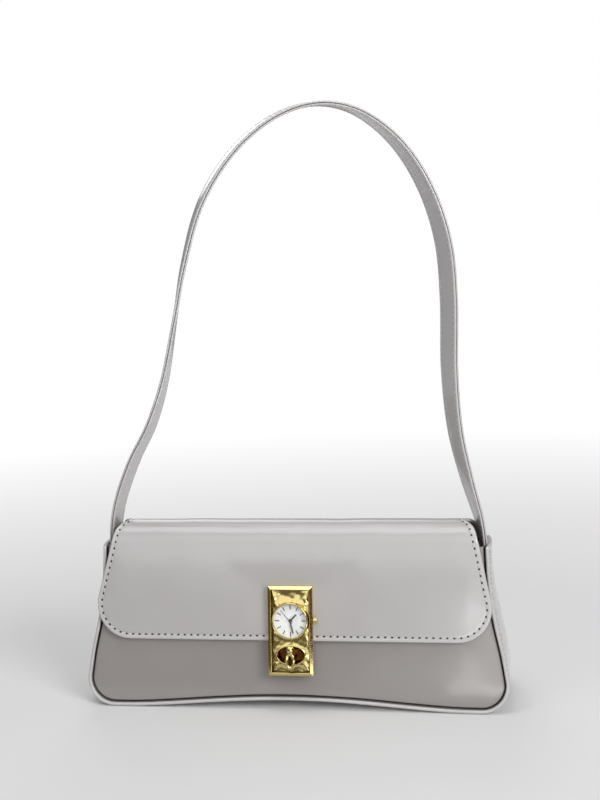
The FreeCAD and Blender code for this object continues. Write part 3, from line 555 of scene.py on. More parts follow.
# %% Helpers for shares, faces and normals
def unit(vectors):
    return vectors / np.maximum(np.linalg.norm(vectors, axis=-1, keepdims=True), 1e-9)


def smooth(share):
    """Bends an even run from 0 to 1 so that it starts and ends gently."""
    return share * share * (3 - 2 * share)


def share_of(value, start, run):
    """0 up to a start, then rising to 1 over a run."""
    return np.clip((value - start) / run, 0, 1)


def grid_faces(rows, columns, flip=False):
    faces = []
    for r in range(rows - 1):
        for c in range(columns - 1):
            a = r * columns + c
            quad = (a, a + columns, a + columns + 1, a + 1)
            faces.append(quad[::-1] if flip else quad)
    return faces


def tube_faces(rings, around, first=0):
    """Faces between rings of points that lie one behind the other."""
    faces = []
    for r in range(rings - 1):
        for k in range(around):
            a, b = first + r * around + k, first + r * around + (k + 1) % around
            faces.append((a, b, b + around, a + around))
    return faces


def ring_of(number, around):
    """The point numbers of one ring of a tube, which closes its end."""
    return tuple(range(number * around, (number + 1) * around))


def grid_normals(points, turn):
    return turn * unit(np.cross(np.gradient(points, axis=0), np.gradient(points, axis=1)))


print("faces of a tube of 3 rings of 8 points:", len(tube_faces(3, 8)))

# %% [markdown]
# One helper then turns points and faces into a smooth Blender object, in metres, with its finishes
# and the number called edge. Where the exact normals are known, they are given to the mesh, because
# Blender's own would shade the narrow faces at an edge unevenly.

# %% Helper for a piece
MM = 0.001


def new_piece(name, points, faces, finishes, normals=None, edge=None, marks=None):
    """A mesh piece from points in millimetres. Marks give each face the number of its finish."""
    mesh = bpy.data.meshes.new(name)
    mesh.from_pydata((np.asarray(points) * MM).tolist(), [], faces)
    mesh.update()
    mesh.polygons.foreach_set("use_smooth", np.ones(len(mesh.polygons), bool))
    if normals is not None:
        mesh.normals_split_custom_set_from_vertices(np.asarray(normals).tolist())
    numbers = np.full(len(points), EDGE_REACH) if edge is None else edge
    attribute = mesh.attributes.new("edge", "FLOAT", "POINT")
    attribute.data.foreach_set("value", np.asarray(numbers, np.float32))
    for finish in finishes:
        mesh.materials.append(finish)
    if marks is not None:
        mesh.polygons.foreach_set("material_index", marks)
    piece = bpy.data.objects.new(name, mesh)
    bpy.context.scene.collection.objects.link(piece)
    print(name, "points", len(points), "faces", len(faces))
    return piece


print("a millimetre in metres:", MM)

# %% [markdown]
# ## From grids to leather
# A piece of leather is a sheet with two faces and a rounded edge. It could be a plane with Solidify
# and Bevel modifiers, but then the seams near the edge could not be shaped point by point. So each
# sheet starts as a grid of points on its outer face. One helper adds the inner face and a half-round
# edge all the way round, and keeps the exact normals, so that two pieces of one sheet meet unseen.

# %% Helpers for sheets
def border_of(rows, columns):
    """Row and column of each point on a grid's border, walked once round."""
    return ([(0, c) for c in range(columns)] + [(r, columns - 1) for r in range(1, rows)]
            + [(rows - 1, c) for c in range(columns - 2, -1, -1)] + [(r, 0) for r in range(rows - 2, 0, -1)])


def sheet(points, thickness, turn=1, steps=6):
    """A closed sheet from the grid of its outer face."""
    rows, columns = points.shape[:2]
    normals = grid_normals(points, turn)
    half = thickness / 2
    flat, flat_normals = points.reshape(-1, 3), normals.reshape(-1, 3)
    all_points = [flat, flat - thickness * flat_normals]
    all_normals = [flat_normals, -flat_normals]
    outer = grid_faces(rows, columns, turn < 0)
    count = rows * columns
    faces = list(outer) + [tuple(i + count for i in quad[::-1]) for quad in outer]
    face_rows = [r for r in range(rows - 1) for c in range(columns - 1)] * 2

    border = border_of(rows, columns)
    index = np.array(border)
    here = points[index[:, 0], index[:, 1]]
    up = normals[index[:, 0], index[:, 1]]
    along = np.roll(here, -1, axis=0) - np.roll(here, 1, axis=0)
    outward = unit(np.cross(along, up))
    inner = points[np.clip(index[:, 0], 1, rows - 2), np.clip(index[:, 1], 1, columns - 2)]
    outward *= np.where(np.sum(outward * (here - inner), axis=1) < 0, -1.0, 1.0)[:, None]
    angles = np.linspace(math.pi / 2, -math.pi / 2, steps + 1)[1:-1]
    for angle in angles:
        direction = math.cos(angle) * outward + math.sin(angle) * up
        all_points.append(here - half * up + half * direction)
        all_normals.append(direction)

    ladder = [index[:, 0] * columns + index[:, 1]]
    ladder += [2 * count + k * len(border) + np.arange(len(border)) for k in range(len(angles))]
    ladder.append(ladder[0] + count)
    for i in range(len(border)):
        j = (i + 1) % len(border)
        both = (border[i][0], border[j][0])
        row = -1 if both == (0, 0) else rows - 1 if both == (rows - 1, rows - 1) else min(both)
        for k in range(len(ladder) - 1):
            quad = (ladder[k][i], ladder[k][j], ladder[k + 1][j], ladder[k + 1][i])
            faces.append(tuple(int(v) for v in (quad if turn > 0 else quad[::-1])))
            face_rows.append(row)
    marks = np.repeat([0, 1, 0], [len(outer), len(outer), len(faces) - 2 * len(outer)])
    return SimpleNamespace(points=np.vstack(all_points), normals=np.vstack(all_normals), faces=faces,
                           face_rows=np.array(face_rows), marks=marks)


def with_rest(made, outer, inner, rest):
    """One number for each point of a sheet: outer face, inner face, and the same on all its edge."""
    return np.concatenate([outer.ravel(), inner.ravel(), np.full(len(made.points) - 2 * outer.size, rest)])


print("border points of a grid of 5 rows and 4 columns:", len(border_of(5, 4)))

# %% [markdown]
# Three more helpers work on rows of points. One gives the distance from every point of a sheet to a
# seam line, which shapes the dips along the seams. One walks a line in even steps. One spaces the
# columns of a sheet, close together near both edges, where the form changes most.

# %% Helpers for lines and spacing
BATCH = 1000


def distance_to(points, line):
    """The shortest distance from each point to the line through a row of points."""
    start, step = line[:-1], np.diff(line, axis=0)
    squared = np.maximum((step ** 2).sum(axis=1), 1e-12)
    nearest = np.empty(len(points))
    for first in range(0, len(points), BATCH):
        away = points[first:first + BATCH, None, :] - start
        share = np.clip((away * step).sum(axis=2) / squared, 0, 1)
        gaps = np.linalg.norm(away - share[:, :, None] * step, axis=2)
        nearest[first:first + BATCH] = gaps.min(axis=1)
    return nearest


def walked_along(line):
    """The length walked from a line's start to each of its points."""
    return np.concatenate([[0], np.cumsum(np.linalg.norm(np.diff(line, axis=0), axis=1))])


def dense(line, step):
    """A row of points walked along in even steps."""
    walked = walked_along(line)
    marks = np.linspace(0, walked[-1], max(2, int(walked[-1] / step)))
    return np.column_stack([np.interp(marks, walked, line[:, k]) for k in range(line.shape[1])])


NEAR_EDGE = np.array([0, 0.5, 1.0, 1.5, 2.0, 2.4, 2.8, 3.3, 3.9, 4.8, 6.0, 8.0, 11.0, 15.0])
MIDDLE_COLUMNS = 41


def across(half):
    """Places across a sheet, close together near both edges."""
    inner = half - NEAR_EDGE[-1]
    middle = np.linspace(-inner, inner, MIDDLE_COLUMNS)
    return np.concatenate([-half + NEAR_EDGE[:-1], middle, (half - NEAR_EDGE[:-1])[::-1]])


print("columns across a sheet:", len(across(MOUTH_HALF)))

# %% [markdown]
# ## Stitches
# A row of lockstitch shows as small dark needle holes with a short slanting bar of thread between
# them. A texture of dashes would look printed on, so each stitch is real: one small thread form is
# made once, and copies of it are set along the seam line, each with the sheet's own normal.

# %% Helper for one stitch
STITCH_RINGS, STITCH_SIDES = 7, 6
END_ROUND, THREAD_LIFT, THREAD_BEND = 0.08, 0.34, 1.5


def thread_form(length, thickness):
    """Points and faces of one stitch lying along X with Z up, its ends sunk into the leather."""
    points = []
    for t in np.linspace(-1, 1, STITCH_RINGS):
        radius = thickness / 2 * math.sqrt(max(END_ROUND, 1 - t ** 4))
        lift = thickness * THREAD_LIFT * (1 - THREAD_BEND * t * t)
        for k in range(STITCH_SIDES):
            turn = 2 * math.pi * k / STITCH_SIDES
            points.append((t * length / 2, radius * math.cos(turn), lift + radius * math.sin(turn)))
    faces = tube_faces(STITCH_RINGS, STITCH_SIDES)
    faces += [ring_of(0, STITCH_SIDES)[::-1], ring_of(STITCH_RINGS - 1, STITCH_SIDES)]
    return np.array(points), faces


print("points of one stitch:", STITCH_RINGS * STITCH_SIDES)

# %% [markdown]
# The row itself needs, at each place on the line, the way along it, the way aside and the way up.
# The bar of thread leans by its slant, and a flat disc of painted shade just above the leather stands for the
# hole.

# %% Helper for a row of stitches
HOLE_CORNERS, HOLE_LIFT, HOLE_STRETCH = 11, 0.07, 1.1
LOOK_AHEAD = 0.4


def stitches(name, line, normals, thread_finish, pitch, length, thickness, hole, slant):
    """Stitches along a line of points: thread bars, and a disc of painted shade for the needle hole between
    each two.
    """
    walked = walked_along(line)
    form, form_faces = thread_form(length, thickness)
    turns = np.linspace(0, 2 * math.pi, HOLE_CORNERS + 1)[:-1]
    disc = np.array([(hole * HOLE_STRETCH * math.cos(a), hole * math.sin(a), HOLE_LIFT) for a in turns])
    points, faces, marks = [], [], []
    total = 0

    def at(mark, values):
        return np.array([np.interp(mark, walked, values[:, k]) for k in range(3)])

    def frame_at(mark):
        up = unit(at(mark, normals))
        along = unit(at(mark + LOOK_AHEAD, line) - at(mark - LOOK_AHEAD, line))
        along = unit(along - up * np.dot(along, up))
        return at(mark, line), along, np.cross(up, along), up

    for i in range(int(walked[-1] / pitch)):
        here, along, aside, up = frame_at((i + 0.5) * pitch)
        leaned = math.cos(slant) * along + math.sin(slant) * aside
        beside = np.cross(up, leaned)
        points.append(here + form[:, :1] * leaned + form[:, 1:2] * beside + form[:, 2:] * up)
        faces += [tuple(v + total for v in face) for face in form_faces]
        marks += [0] * len(form_faces)
        total += len(form)
        here, along, aside, up = frame_at(i * pitch + 0.001)
        points.append(here + disc[:, :1] * along + disc[:, 1:2] * aside + disc[:, 2:] * up)
        faces.append(tuple(range(total, total + len(disc))))
        marks.append(1)
        total += len(disc)
    return new_piece(name, np.vstack(points), faces, [thread_finish, hole_shade_finish], marks=marks)


print("corners of a needle hole:", HOLE_CORNERS)

# %% [markdown]
# ## Front panel
# The front panel stands inside the raised edges of the side strip, and a narrow groove runs between
# them, darkened with a painted shade. So the panel's edge dips towards its seam, and its middle has a
# slight belly. The rows of its grid lie close together at the rounded bottom and at the top.

# %% Grid of a panel
SEAM = 2.0
ARCH_FADE = 45.0
CORNER_ROWS, BODY_STEP = 24, 3.0
PANEL_BELOW_MOUTH = 0.8
NEAR_TOP = np.array([0, 0.4, 0.9, 1.5, 2.4, 3.6, 5.5])


def body_rows(top):
    low = SEAM + (CORNER - SEAM) * (1 - np.cos(np.linspace(0, math.pi / 2, CORNER_ROWS)))
    high = top - NEAR_TOP[::-1]
    return np.concatenate([low, np.arange(CORNER + BODY_STEP, high[0] - BODY_STEP / 2, BODY_STEP), high])


def arch_fade(z):
    """The share of the underside's arch that a panel still follows at a height."""
    return np.clip(1 - (z - SEAM) / ARCH_FADE, 0, 1) ** 2


heights = body_rows(MOUTH - PANEL_BELOW_MOUTH)
x = np.array([across(half) for half in half_width(heights, SEAM)])
z = np.repeat(heights[:, None], x.shape[1], axis=1)
z = z + arch_lift(x) * arch_fade(z)
print("panel grid:", x.shape)

# %% [markdown]
# The dips and the belly depend on the distance to the seam, which runs down the left side, along the
# underside and up the right side. The panel's number called edge starts at zero in the seam, so the
# groove gets a near-black painted shade.

# %% Make the front panel
PANEL_THICK = 1.6
PANEL_BELLY, BELLY_RUN = 0.9, 14
SEAM_DIP, DIP_RUN = 0.9, 0.8
SEAM_SHADE, SEAM_SHADE_CAP = 1.8, 1.5

seam_line = np.column_stack([
    np.concatenate([grid[::-1, 0], grid[0, 1:], grid[1:, -1]]) for grid in (x, z)])
gap = distance_to(np.column_stack([x.ravel(), z.ravel()]), seam_line).reshape(x.shape)
belly = PANEL_BELLY * (1 - np.exp(-gap / BELLY_RUN)) - SEAM_DIP * np.exp(-gap / DIP_RUN) + ripple(x, z)
panel = sheet(np.stack([x, front_y(belly, z), z], axis=2), PANEL_THICK, turn=-1)
# The seam groove gets a painted shade, from the seam colour in the groove up to the pale edge tone at the
# cap.
shade = np.minimum(gap / SEAM_SHADE, SEAM_SHADE_CAP)
front_panel = new_piece("front_panel_leather", panel.points, panel.faces, [shaded_panel_leather],
                        panel.normals, with_rest(panel, shade, shade, 0.0))
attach(front_panel, "bag")
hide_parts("front_panel")

# %% [markdown]
# ## Side strips
# One long strip runs down the left side and under the bag to the middle, and another does the same
# on the right. Between its two edges the soft strip swells outwards, most at half height. It is made
# as a grid that follows the outline and is pushed out along the outline's normal. Its edges stand
# proud of the panels as a lip, and a row of stitches runs along each.

# %% Path of a side strip
PATH_STEP = 1.6
UNDER_POINTS, CORNER_POINTS, SIDE_POINTS = 70, 40, 60
MID_GAP = 0.15
SWELL_MOST, SWELL_POWER = 2.2, 2.3
SWELL = np.array([(0, 0), (18, 0), (40, 0.8), (56, 1.0), (70, 0.75), (85, 0.6), (99, 0.8)])


def strip_path():
    """X, Z and outward normal along one strip, from the middle of the underside up to the mouth."""
    under = np.linspace(MID_GAP, CORNER_X - 1, UNDER_POINTS)
    turn = np.linspace(-math.pi / 2, 0, CORNER_POINTS)
    side = np.linspace(CORNER + 1, MOUTH - 1, SIDE_POINTS)
    path = np.vstack([
        np.column_stack([under, arch_lift(under)]),
        np.column_stack([CORNER_X + CORNER * np.cos(turn), CORNER + CORNER * np.sin(turn)]),
        np.column_stack([half_width(side), side])])
    path = dense(path, PATH_STEP)
    direction = unit(np.gradient(path, axis=0))
    return path, np.column_stack([direction[:, 1], -direction[:, 0]])


print("points along a strip:", len(strip_path()[0]))

# %% [markdown]
# The columns of the grid lie close together near both edges, for the rounded lip and the channel
# that the stitches press into the leather. The inside of the strip gets a painted shade, apart from the lip.

# %% Make the side strips
STRIP_THICK, STRIP_LIP = 2.0, 2.0
STRIP_ROUND = STRIP_THICK / 2
NEAR_LIP = np.array([0, 0.5, 1.0, 1.5, 2.0, 2.5, 3.2, 4.4, 6.0])
STRIP_MIDDLE_COLUMNS, STITCH_COLUMN = 15, 5
CHANNEL_IN, CHANNEL_DEEP, CHANNEL_WIDE = 3.2, 0.22, 0.7
INNER_SHADE_FROM = 1.6
STRIP_STITCH = dict(pitch=3.1, length=1.9, thickness=0.40, hole=0.26, slant=0.12)


def side_strip(name, node, side):
    path, normal = strip_path()
    first = (front_y(STRIP_LIP, path[:, 1]) + STRIP_ROUND)[:, None]
    last = (back_y(STRIP_LIP, path[:, 1]) - STRIP_ROUND)[:, None]
    depth = last - first
    shares = np.linspace(0, 1, STRIP_MIDDLE_COLUMNS + 2)[1:-1]
    middle = first + NEAR_LIP[-1] + (depth - 2 * NEAR_LIP[-1]) * shares
    y = np.column_stack([first + NEAR_LIP, middle, last - NEAR_LIP[::-1]])
    edge = np.minimum(y - first, last - y) + STRIP_ROUND
    from_middle = np.abs(2 * (y - first) / depth - 1)
    push = (SWELL_MOST * from_table(path[:, 1], SWELL))[:, None] * (1 - from_middle ** SWELL_POWER)
    push = push - CHANNEL_DEEP * np.exp(-((edge - CHANNEL_IN) / CHANNEL_WIDE) ** 2)
    x = side * (path[:, :1] + normal[:, :1] * push)
    points = np.stack([x, y, path[:, 1:] + normal[:, 1:] * push], axis=2)
    made = sheet(points, STRIP_THICK, turn=-side)
    # Past this distance from the lip the inside gets the seam colour, a painted shade.
    inside = np.where(edge > INNER_SHADE_FROM, 0.0, 1.0)
    strip = new_piece(name, made.points, made.faces, [grey_leather],
                      made.normals, with_rest(made, edge, inside, 1.0))
    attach(strip, "bag")
    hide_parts(node)
    outward = grid_normals(points, -side)
    for where, column in (("front", STITCH_COLUMN), ("back", -1 - STITCH_COLUMN)):
        seam = stitches(f"{name}_stitches_{where}", points[2:, column], outward[2:, column],
                        grey_thread, **STRIP_STITCH)
        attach(seam, "bag")


side_strip("side_strip_right", "gusset_right", 1)
side_strip("side_strip_left", "gusset_left", -1)

# %% [markdown]
# ## Back and flap in one
# One sheet of leather is the back panel, goes over the top in a round fold, and comes down in front
# as the flap. It is worked out as one grid, so the grain and the shine run through, and then parted
# along the crown of the fold. First comes the flap's outline from the front: two slanting sides, and
# four rounded corners.

# %% Outline of the flap
FLAP_OUT, FLAP_CROWN, FLAP_EDGE = 4.6, 113.0, 42.6
FLAP_THICK = 2.2
FOLD_Y = -FLAP_OUT / (2 * math.cos(LEAN))
FOLD_Z = ((FLAP_CROWN - math.cos(LEAN) * (BASE_DEEP - FOLD_Y)) / (1 - math.sin(LEAN)))
FOLD_RADIUS = FLAP_CROWN - FOLD_Z
HINGE = FOLD_Z + FOLD_RADIUS * math.sin(LEAN)
FLAP_FOLD_HALF, FLAP_EDGE_HALF = 114.3, 127.9
FLAP_TILT = math.atan((FLAP_EDGE_HALF - FLAP_FOLD_HALF) / (HINGE - FLAP_EDGE))
UPPER_ROUND, UPPER_OVER, LOWER_ROUND = 8.0, 0.9, 21.0


def flap_line(height, inset):
    """Half width on the flap's slanting side edge."""
    return FLAP_FOLD_HALF + (HINGE - height) * math.tan(FLAP_TILT) - inset / math.cos(FLAP_TILT)


def flap_corner(height, radius):
    """Centre and radius of a rounded corner of the flap, set against the side edge."""
    return float(flap_line(height, radius)), height, radius


FLAP_UPPER = flap_corner(FLAP_CROWN + UPPER_OVER - UPPER_ROUND, UPPER_ROUND)
FLAP_LOWER = flap_corner(FLAP_EDGE + LOWER_ROUND, LOWER_ROUND)


def flap_half(height, inset):
    """Half the flap's width at a height, seen from the front."""
    height = np.asarray(height, float)
    ends = []
    for x, z, radius in (FLAP_UPPER, FLAP_LOWER):
        ends.append(x + np.sqrt(np.clip((radius - inset) ** 2 - (height - z) ** 2, 0, None)))
    high = height > FLAP_UPPER[1] + (FLAP_UPPER[2] - inset) * math.sin(FLAP_TILT)
    low = height < FLAP_LOWER[1] + (FLAP_LOWER[2] - inset) * math.sin(FLAP_TILT)
    return np.where(high, ends[0], np.where(low, ends[1], flap_line(height, inset)))


print("fold radius", round(FOLD_RADIUS, 2), "hinge height", round(HINGE, 2))

# %% [markdown]
# Seen from the side, the sheet goes up the back, round the fold and down the front. Its rows follow
# that profile, with a half width for each. Near the top of the back the width eases from the body's
# to the flap's.

# %% Profile of the back and the flap
FOLD_ROWS, FRONT_STEP, FRONT_ROWS_END = 33, 2.5, 67
NEAR_LOWER_EDGE = np.array(
    [0, 0.4, 0.8, 1.2, 1.6, 2.0, 2.5, 3.1, 3.9, 5, 6.4, 8, 10, 12.4, 15, 18, 21.5])
EASE_FROM = 80

rim = FLAP_THICK / 2
back_heights = body_rows(HINGE)[:-1]
angles = np.linspace(LEAN, math.pi - LEAN, FOLD_ROWS)
front_heights = np.concatenate([
    np.arange(HINGE - FRONT_STEP, FRONT_ROWS_END, -FRONT_STEP), (FLAP_EDGE + rim + NEAR_LOWER_EDGE)[::-1]])
fold_y = MIDDLE + FOLD_Y + FOLD_RADIUS * np.cos(angles)
profile_y = np.concatenate([back_y(0, back_heights), fold_y, front_y(FLAP_OUT, front_heights)])
profile_z = np.concatenate([back_heights, FOLD_Z + FOLD_RADIUS * np.sin(angles), front_heights])
ease = smooth(share_of(back_heights, EASE_FROM, HINGE - EASE_FROM))
half = np.concatenate([
    half_width(back_heights, SEAM) * (1 - ease) + flap_half(HINGE, rim) * ease,
    flap_half(profile_z[len(back_heights):], rim)])
CROWN_ROW = len(back_heights) + FOLD_ROWS // 2
FIRST_FRONT = len(back_heights) + FOLD_ROWS
print("rows of the back, the fold and the front:", len(back_heights), FOLD_ROWS, len(front_heights))

# %% [markdown]
# The plain grid comes next. On this bag the lower flap hangs a little to the left, so its rows are
# moved aside, gently, from the fold down. Two lines are then laid on the grid, the flap's rim and the
# back's seam, and every point gets its distance to both.

# %% Grid of the back and the flap
FLAP_ASIDE, ASIDE_RUN = -0.9, 32

row_numbers = np.arange(len(half))
is_back = (row_numbers < len(back_heights))[:, None]
is_front = (row_numbers >= FIRST_FRONT)[:, None]
aside = FLAP_ASIDE * smooth(share_of(HINGE - profile_z, 0, ASIDE_RUN) * is_front[:, 0])
x = np.array([across(h) for h in half]) + aside[:, None]
y = np.repeat(profile_y[:, None], x.shape[1], axis=1)
z = np.repeat(profile_z[:, None], x.shape[1], axis=1)
z = z + arch_lift(x) * np.where(is_back, arch_fade(z), 0)
y = np.where(is_back, back_y(0, z), y)
plain = np.stack([x, y, z], axis=2)
outward = grid_normals(plain, 1)

rim_rows = np.arange(len(back_heights) - 6, len(half))
flap_rim = np.vstack([plain[rim_rows, 0], plain[-1, 1:-1], plain[rim_rows[::-1], -1]])
to_rim = distance_to(plain.reshape(-1, 3), flap_rim).reshape(x.shape)
seam_rows = np.arange(len(back_heights) - 8)
back_seam = np.vstack([plain[seam_rows[::-1], 0], plain[0, 1:-1], plain[seam_rows, -1]])
to_seam = distance_to(plain.reshape(-1, 3), back_seam).reshape(x.shape)
print("back and flap grid:", x.shape)

# %% [markdown]
# The grid is then shaped by pushing it out along its normals: a shallow channel runs under the
# stitches along the flap's edge, the back dips into its seam, the flap bows out a little below the
# fold except where the lock holds it, the back has a belly, and soft leather is never quite even.

# %% Shape the back and the flap
STITCH_IN = 1.9
FLAP_CHANNEL_DEEP, FLAP_CHANNEL_WIDE = 0.18, 0.9
FLAP_BOW, BOW_FROM_RIM, BOW_EASE = 9.0, -3, 14
LOCK_HALF, LOCK_EASE = 16, 30
ABOVE_LOCK, ABOVE_EASE = 76, 14
BACK_BELLY, BACK_BELLY_RUN = 1.0, 16
BELLY_TOP, BELLY_EASE = 80, 30
CALM_RUN, PLATE_CALM = 8, 14

push = -FLAP_CHANNEL_DEEP * np.exp(-((to_rim - STITCH_IN) / FLAP_CHANNEL_WIDE) ** 2)
push = push - SEAM_DIP * np.exp(-to_seam / DIP_RUN)
front_share = share_of(HINGE - z, 0, HINGE - FLAP_EDGE)
beside_lock = smooth(share_of(np.abs(x), LOCK_HALF, LOCK_EASE))
free = np.maximum(beside_lock, share_of(z, ABOVE_LOCK, ABOVE_EASE))
bow = FLAP_BOW * front_share * (1 - front_share) ** 2
push = push + np.where(is_front, bow * free * share_of(to_rim, BOW_FROM_RIM, BOW_EASE), 0)
uneven = share_of(to_rim, 0, CALM_RUN) * share_of(to_seam, 0, CALM_RUN)
uneven = uneven * share_of(np.abs(x), PLATE_CALM, PLATE_CALM)
push = push + ripple(x, z + y) * uneven
back_belly = BACK_BELLY * (1 - np.exp(-to_seam / BACK_BELLY_RUN)) * share_of(BELLY_TOP - z, 0, BELLY_EASE)
push = push + np.where(is_back, back_belly, 0)
shaped = plain + push[:, :, None] * outward
shaped_normals = grid_normals(shaped, 1)
whole = sheet(shaped, FLAP_THICK, turn=1)
shade = np.where(to_seam < SEAM_SHADE * SEAM_SHADE_CAP, to_seam / SEAM_SHADE, EDGE_REACH)
edge = np.minimum(to_rim + 1.0, shade)
edge = with_rest(whole, edge, edge + EDGE_REACH, 1.0)
print("flap sheet points", len(whole.points))

# %% [markdown]
# The sheet is parted along the crown into two pieces. The inner face takes the plainer leather of the facing.


def part_of_sheet(name, low, high):
    """A piece from the faces of the sheet that lie between two of its rows."""
    chosen = np.nonzero((whole.face_rows >= low) & (whole.face_rows < high))[0]
    kept = [whole.faces[i] for i in chosen]
    used = np.unique(np.array(kept))
    new_index = np.zeros(len(whole.points), int)
    new_index[used] = np.arange(len(used))
    faces = [tuple(int(new_index[v]) for v in face) for face in kept]
    return new_piece(name, whole.points[used], faces, [grey_leather, flap_facing],
                     whole.normals[used], edge[used], whole.marks[chosen])


back_and_fold = part_of_sheet("back_and_fold", -1, CROWN_ROW)
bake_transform(back_and_fold)
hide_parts("back_panel")
flap = part_of_sheet("flap_leather", CROWN_ROW, len(half))
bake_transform(flap)
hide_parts("flap_top_outer", "flap_top_lining", "flap_outer", "flap_lining")

# %% [markdown]
# The flap's stitches follow the channel. The line is given as pairs of an X and a row of the grid,
# where a row may lie between two, and is then set on the shaped sheet with its normals.

# %% Helpers for the flap's seam
FLAP_STITCH = dict(pitch=4.15, length=2.4, thickness=0.70, hole=0.64, slant=0.24)


def on_flap(x_wanted, row):
    """Point and normal of the sheet at an X and a row that may lie between two."""
    low = min(int(row), len(half) - 2)
    part = row - low
    x_wanted = x_wanted + aside[low]
    found = []
    for values in (shaped, shaped_normals):
        above, below = (np.array([np.interp(x_wanted, x[r], values[r, :, k]) for k in range(3)])
                        for r in (low, low + 1))
        found.append(above * (1 - part) + below * part)
    return found


def seam_side(side, first_row, last_row):
    return [(float(side * (half[r] - STITCH_IN)), float(r)) for r in range(first_row, last_row)]


def front_row(height):
    rows = np.arange(FIRST_FRONT - 1, len(half))
    return float(np.interp(-height, -profile_z[rows], rows))


def sew_on_flap(name, line):
    set_on = np.array([on_flap(*place) for place in line])
    return stitches(name, set_on[:, 0], set_on[:, 1], white_thread, **FLAP_STITCH)


print("rows of the flap's front:", len(half) - FIRST_FRONT)

# %% [markdown]
# The line is walked down the right edge, round the corner and along the lower edge to the middle,
# and the left half mirrors it. A short row on each side goes on over the fold to the back.

# %% Stitch the flap's edge
SEAM_SIDE_END, SEAM_SIDE_POINTS, SEAM_CORNER_POINTS, SEAM_LOWER_POINTS = 70, 16, 24, 14

corner_x, corner_z, corner_r = FLAP_LOWER
seam_r = corner_r - rim - STITCH_IN
turned = np.linspace(FLAP_TILT, -math.pi / 2, SEAM_CORNER_POINTS)
corner = [(corner_x + seam_r * math.cos(a), front_row(corner_z + seam_r * math.sin(a))) for a in turned]
right_half = seam_side(1, CROWN_ROW, FIRST_FRONT)
for h in np.linspace(HINGE - 2, SEAM_SIDE_END, SEAM_SIDE_POINTS):
    right_half.append((float(flap_half(h, rim + STITCH_IN)), front_row(h)))
right_half += corner
right_half += [(corner_x * share, corner[-1][1]) for share in np.linspace(0.9, 0.0, SEAM_LOWER_POINTS)]
left_half = [(-place, row) for place, row in right_half[-2::-1]]
flap_seam = sew_on_flap("flap_stitches", right_half + left_half)
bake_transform(flap_seam)
for side, word in ((1, "right"), (-1, "left")):
    seam = sew_on_flap(f"fold_stitches_{word}", seam_side(side, len(back_heights) - 4, CROWN_ROW - 2))
    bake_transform(seam)

# %% [markdown]
# ## Lining
# Inside hangs a sack of woven cloth. It is lofted from rounded rings that follow the walls, with a
# soft bottom, and its top edge is turned in. A ring is an oval whose sine and cosine are raised to a
# small power, which squares it off.

# %% Make the lining
LINING_SIDE_GAP, LINING_DEEP_GAP, LINING_LOW = 5.6, 4.2, 6
RING_POINTS, RING_POWER = 120, 0.32


def squared(wave):
    return np.sign(wave) * np.abs(wave) ** RING_POWER


def lining_ring(height, inset):
    wide = float(half_width(max(height, LINING_LOW), LINING_SIDE_GAP)) - inset
    deep = float(BASE_DEEP - height * math.tan(LEAN)) - LINING_DEEP_GAP - inset
    turn = np.linspace(0, 2 * math.pi, RING_POINTS, endpoint=False)
    ring_x = wide * squared(np.cos(turn))
    ring_y = MIDDLE + deep * squared(np.sin(turn))
    return np.column_stack([ring_x, ring_y, height + arch_lift(ring_x) * max(0, 1 - height / ARCH_FADE) ** 2])


# Height and inset of the rings: the turned edge, the wavy walls and the round bottom
levels = [(MOUTH - 3.0, 0.7), (MOUTH - 1.6, 0.2), (MOUTH - 1.2, 0.0)]
levels += [(h, 0.25 * math.sin(h / 7.0)) for h in np.linspace(MOUTH - 3, 24, 24)]
levels += [(14, 1.2), (10, 3.5), (8.4, 8), (7.8, 14), (7.4, 20)]
rings = np.array([lining_ring(*level) for level in levels])
faces = tube_faces(len(levels), RING_POINTS) + [ring_of(len(levels) - 1, RING_POINTS)]
lining = new_piece("lining_sack", rings.reshape(-1, 3), faces, [lining_cloth])
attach(lining, "bag")
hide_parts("lining")

# %% [markdown]
# ## Shoulder strap
# The strap is a flat band of two leather layers, glued and sewn along both edges. It rises out of
# the side strips, bends over in one loop, and is twisted a little as it stands. A curve with a bevel
# would twist on its own, so the band's section is set along the line with a chosen turn at each place.

# %% Line and twist of the strap
STRAP_Y = MIDDLE + 2.0
STRAP_LINE = np.array([
    (-118.2, 78.0), (-117.6, 88.0), (-116.4, 99.0), (-114.9, 112.0), (-110.6, 128.0), (-101.0, 150.5),
    (-88.6, 173.0), (-78.2, 201.4), (-69.6, 238.6), (-62.0, 272.0), (-49.7, 307.9), (-29.8, 336.9),
    (-4.3, 356.6), (21.9, 364.0), (46.6, 358.8), (69.5, 340.7), (86.3, 314.0), (96.4, 281.5),
    (99.0, 246.0), (98.4, 204.1), (100.9, 167.5), (107.4, 136.7), (113.6, 114.0), (116.4, 99.0),
    (117.6, 88.0), (118.2, 78.0)])
POINTS_PER_SPAN = 12
# Place on the line, counted in its points, and the twist there in degrees
TWIST = [(0, 0), (3, -6), (5, -11), (6.5, -5), (8, 14), (10, 22), (12, 14), (13.3, 0), (15, -26),
         (16.5, -35), (18, -39), (20, -33), (21.5, -24), (23, -10), (25, 0)]
TWIST_SMOOTHING = 25


def through(points, per_span):
    """A smooth line through points, each span bent by its four nearest, with each point's place."""
    ends = np.vstack([2 * points[0] - points[1], points, 2 * points[-1] - points[-2]])
    made, places = [], []
    for i in range(1, len(ends) - 2):
        a, b, c, d = ends[i - 1:i + 3]
        for t in np.arange(per_span) / per_span:
            made.append(0.5 * (2 * b + (c - a) * t + (2 * a - 5 * b + 4 * c - d) * t ** 2
                               + (3 * b - a - 3 * c + d) * t ** 3))
            places.append(i - 1 + t)
    return np.vstack([made, points[-1]]), np.append(places, len(points) - 1)


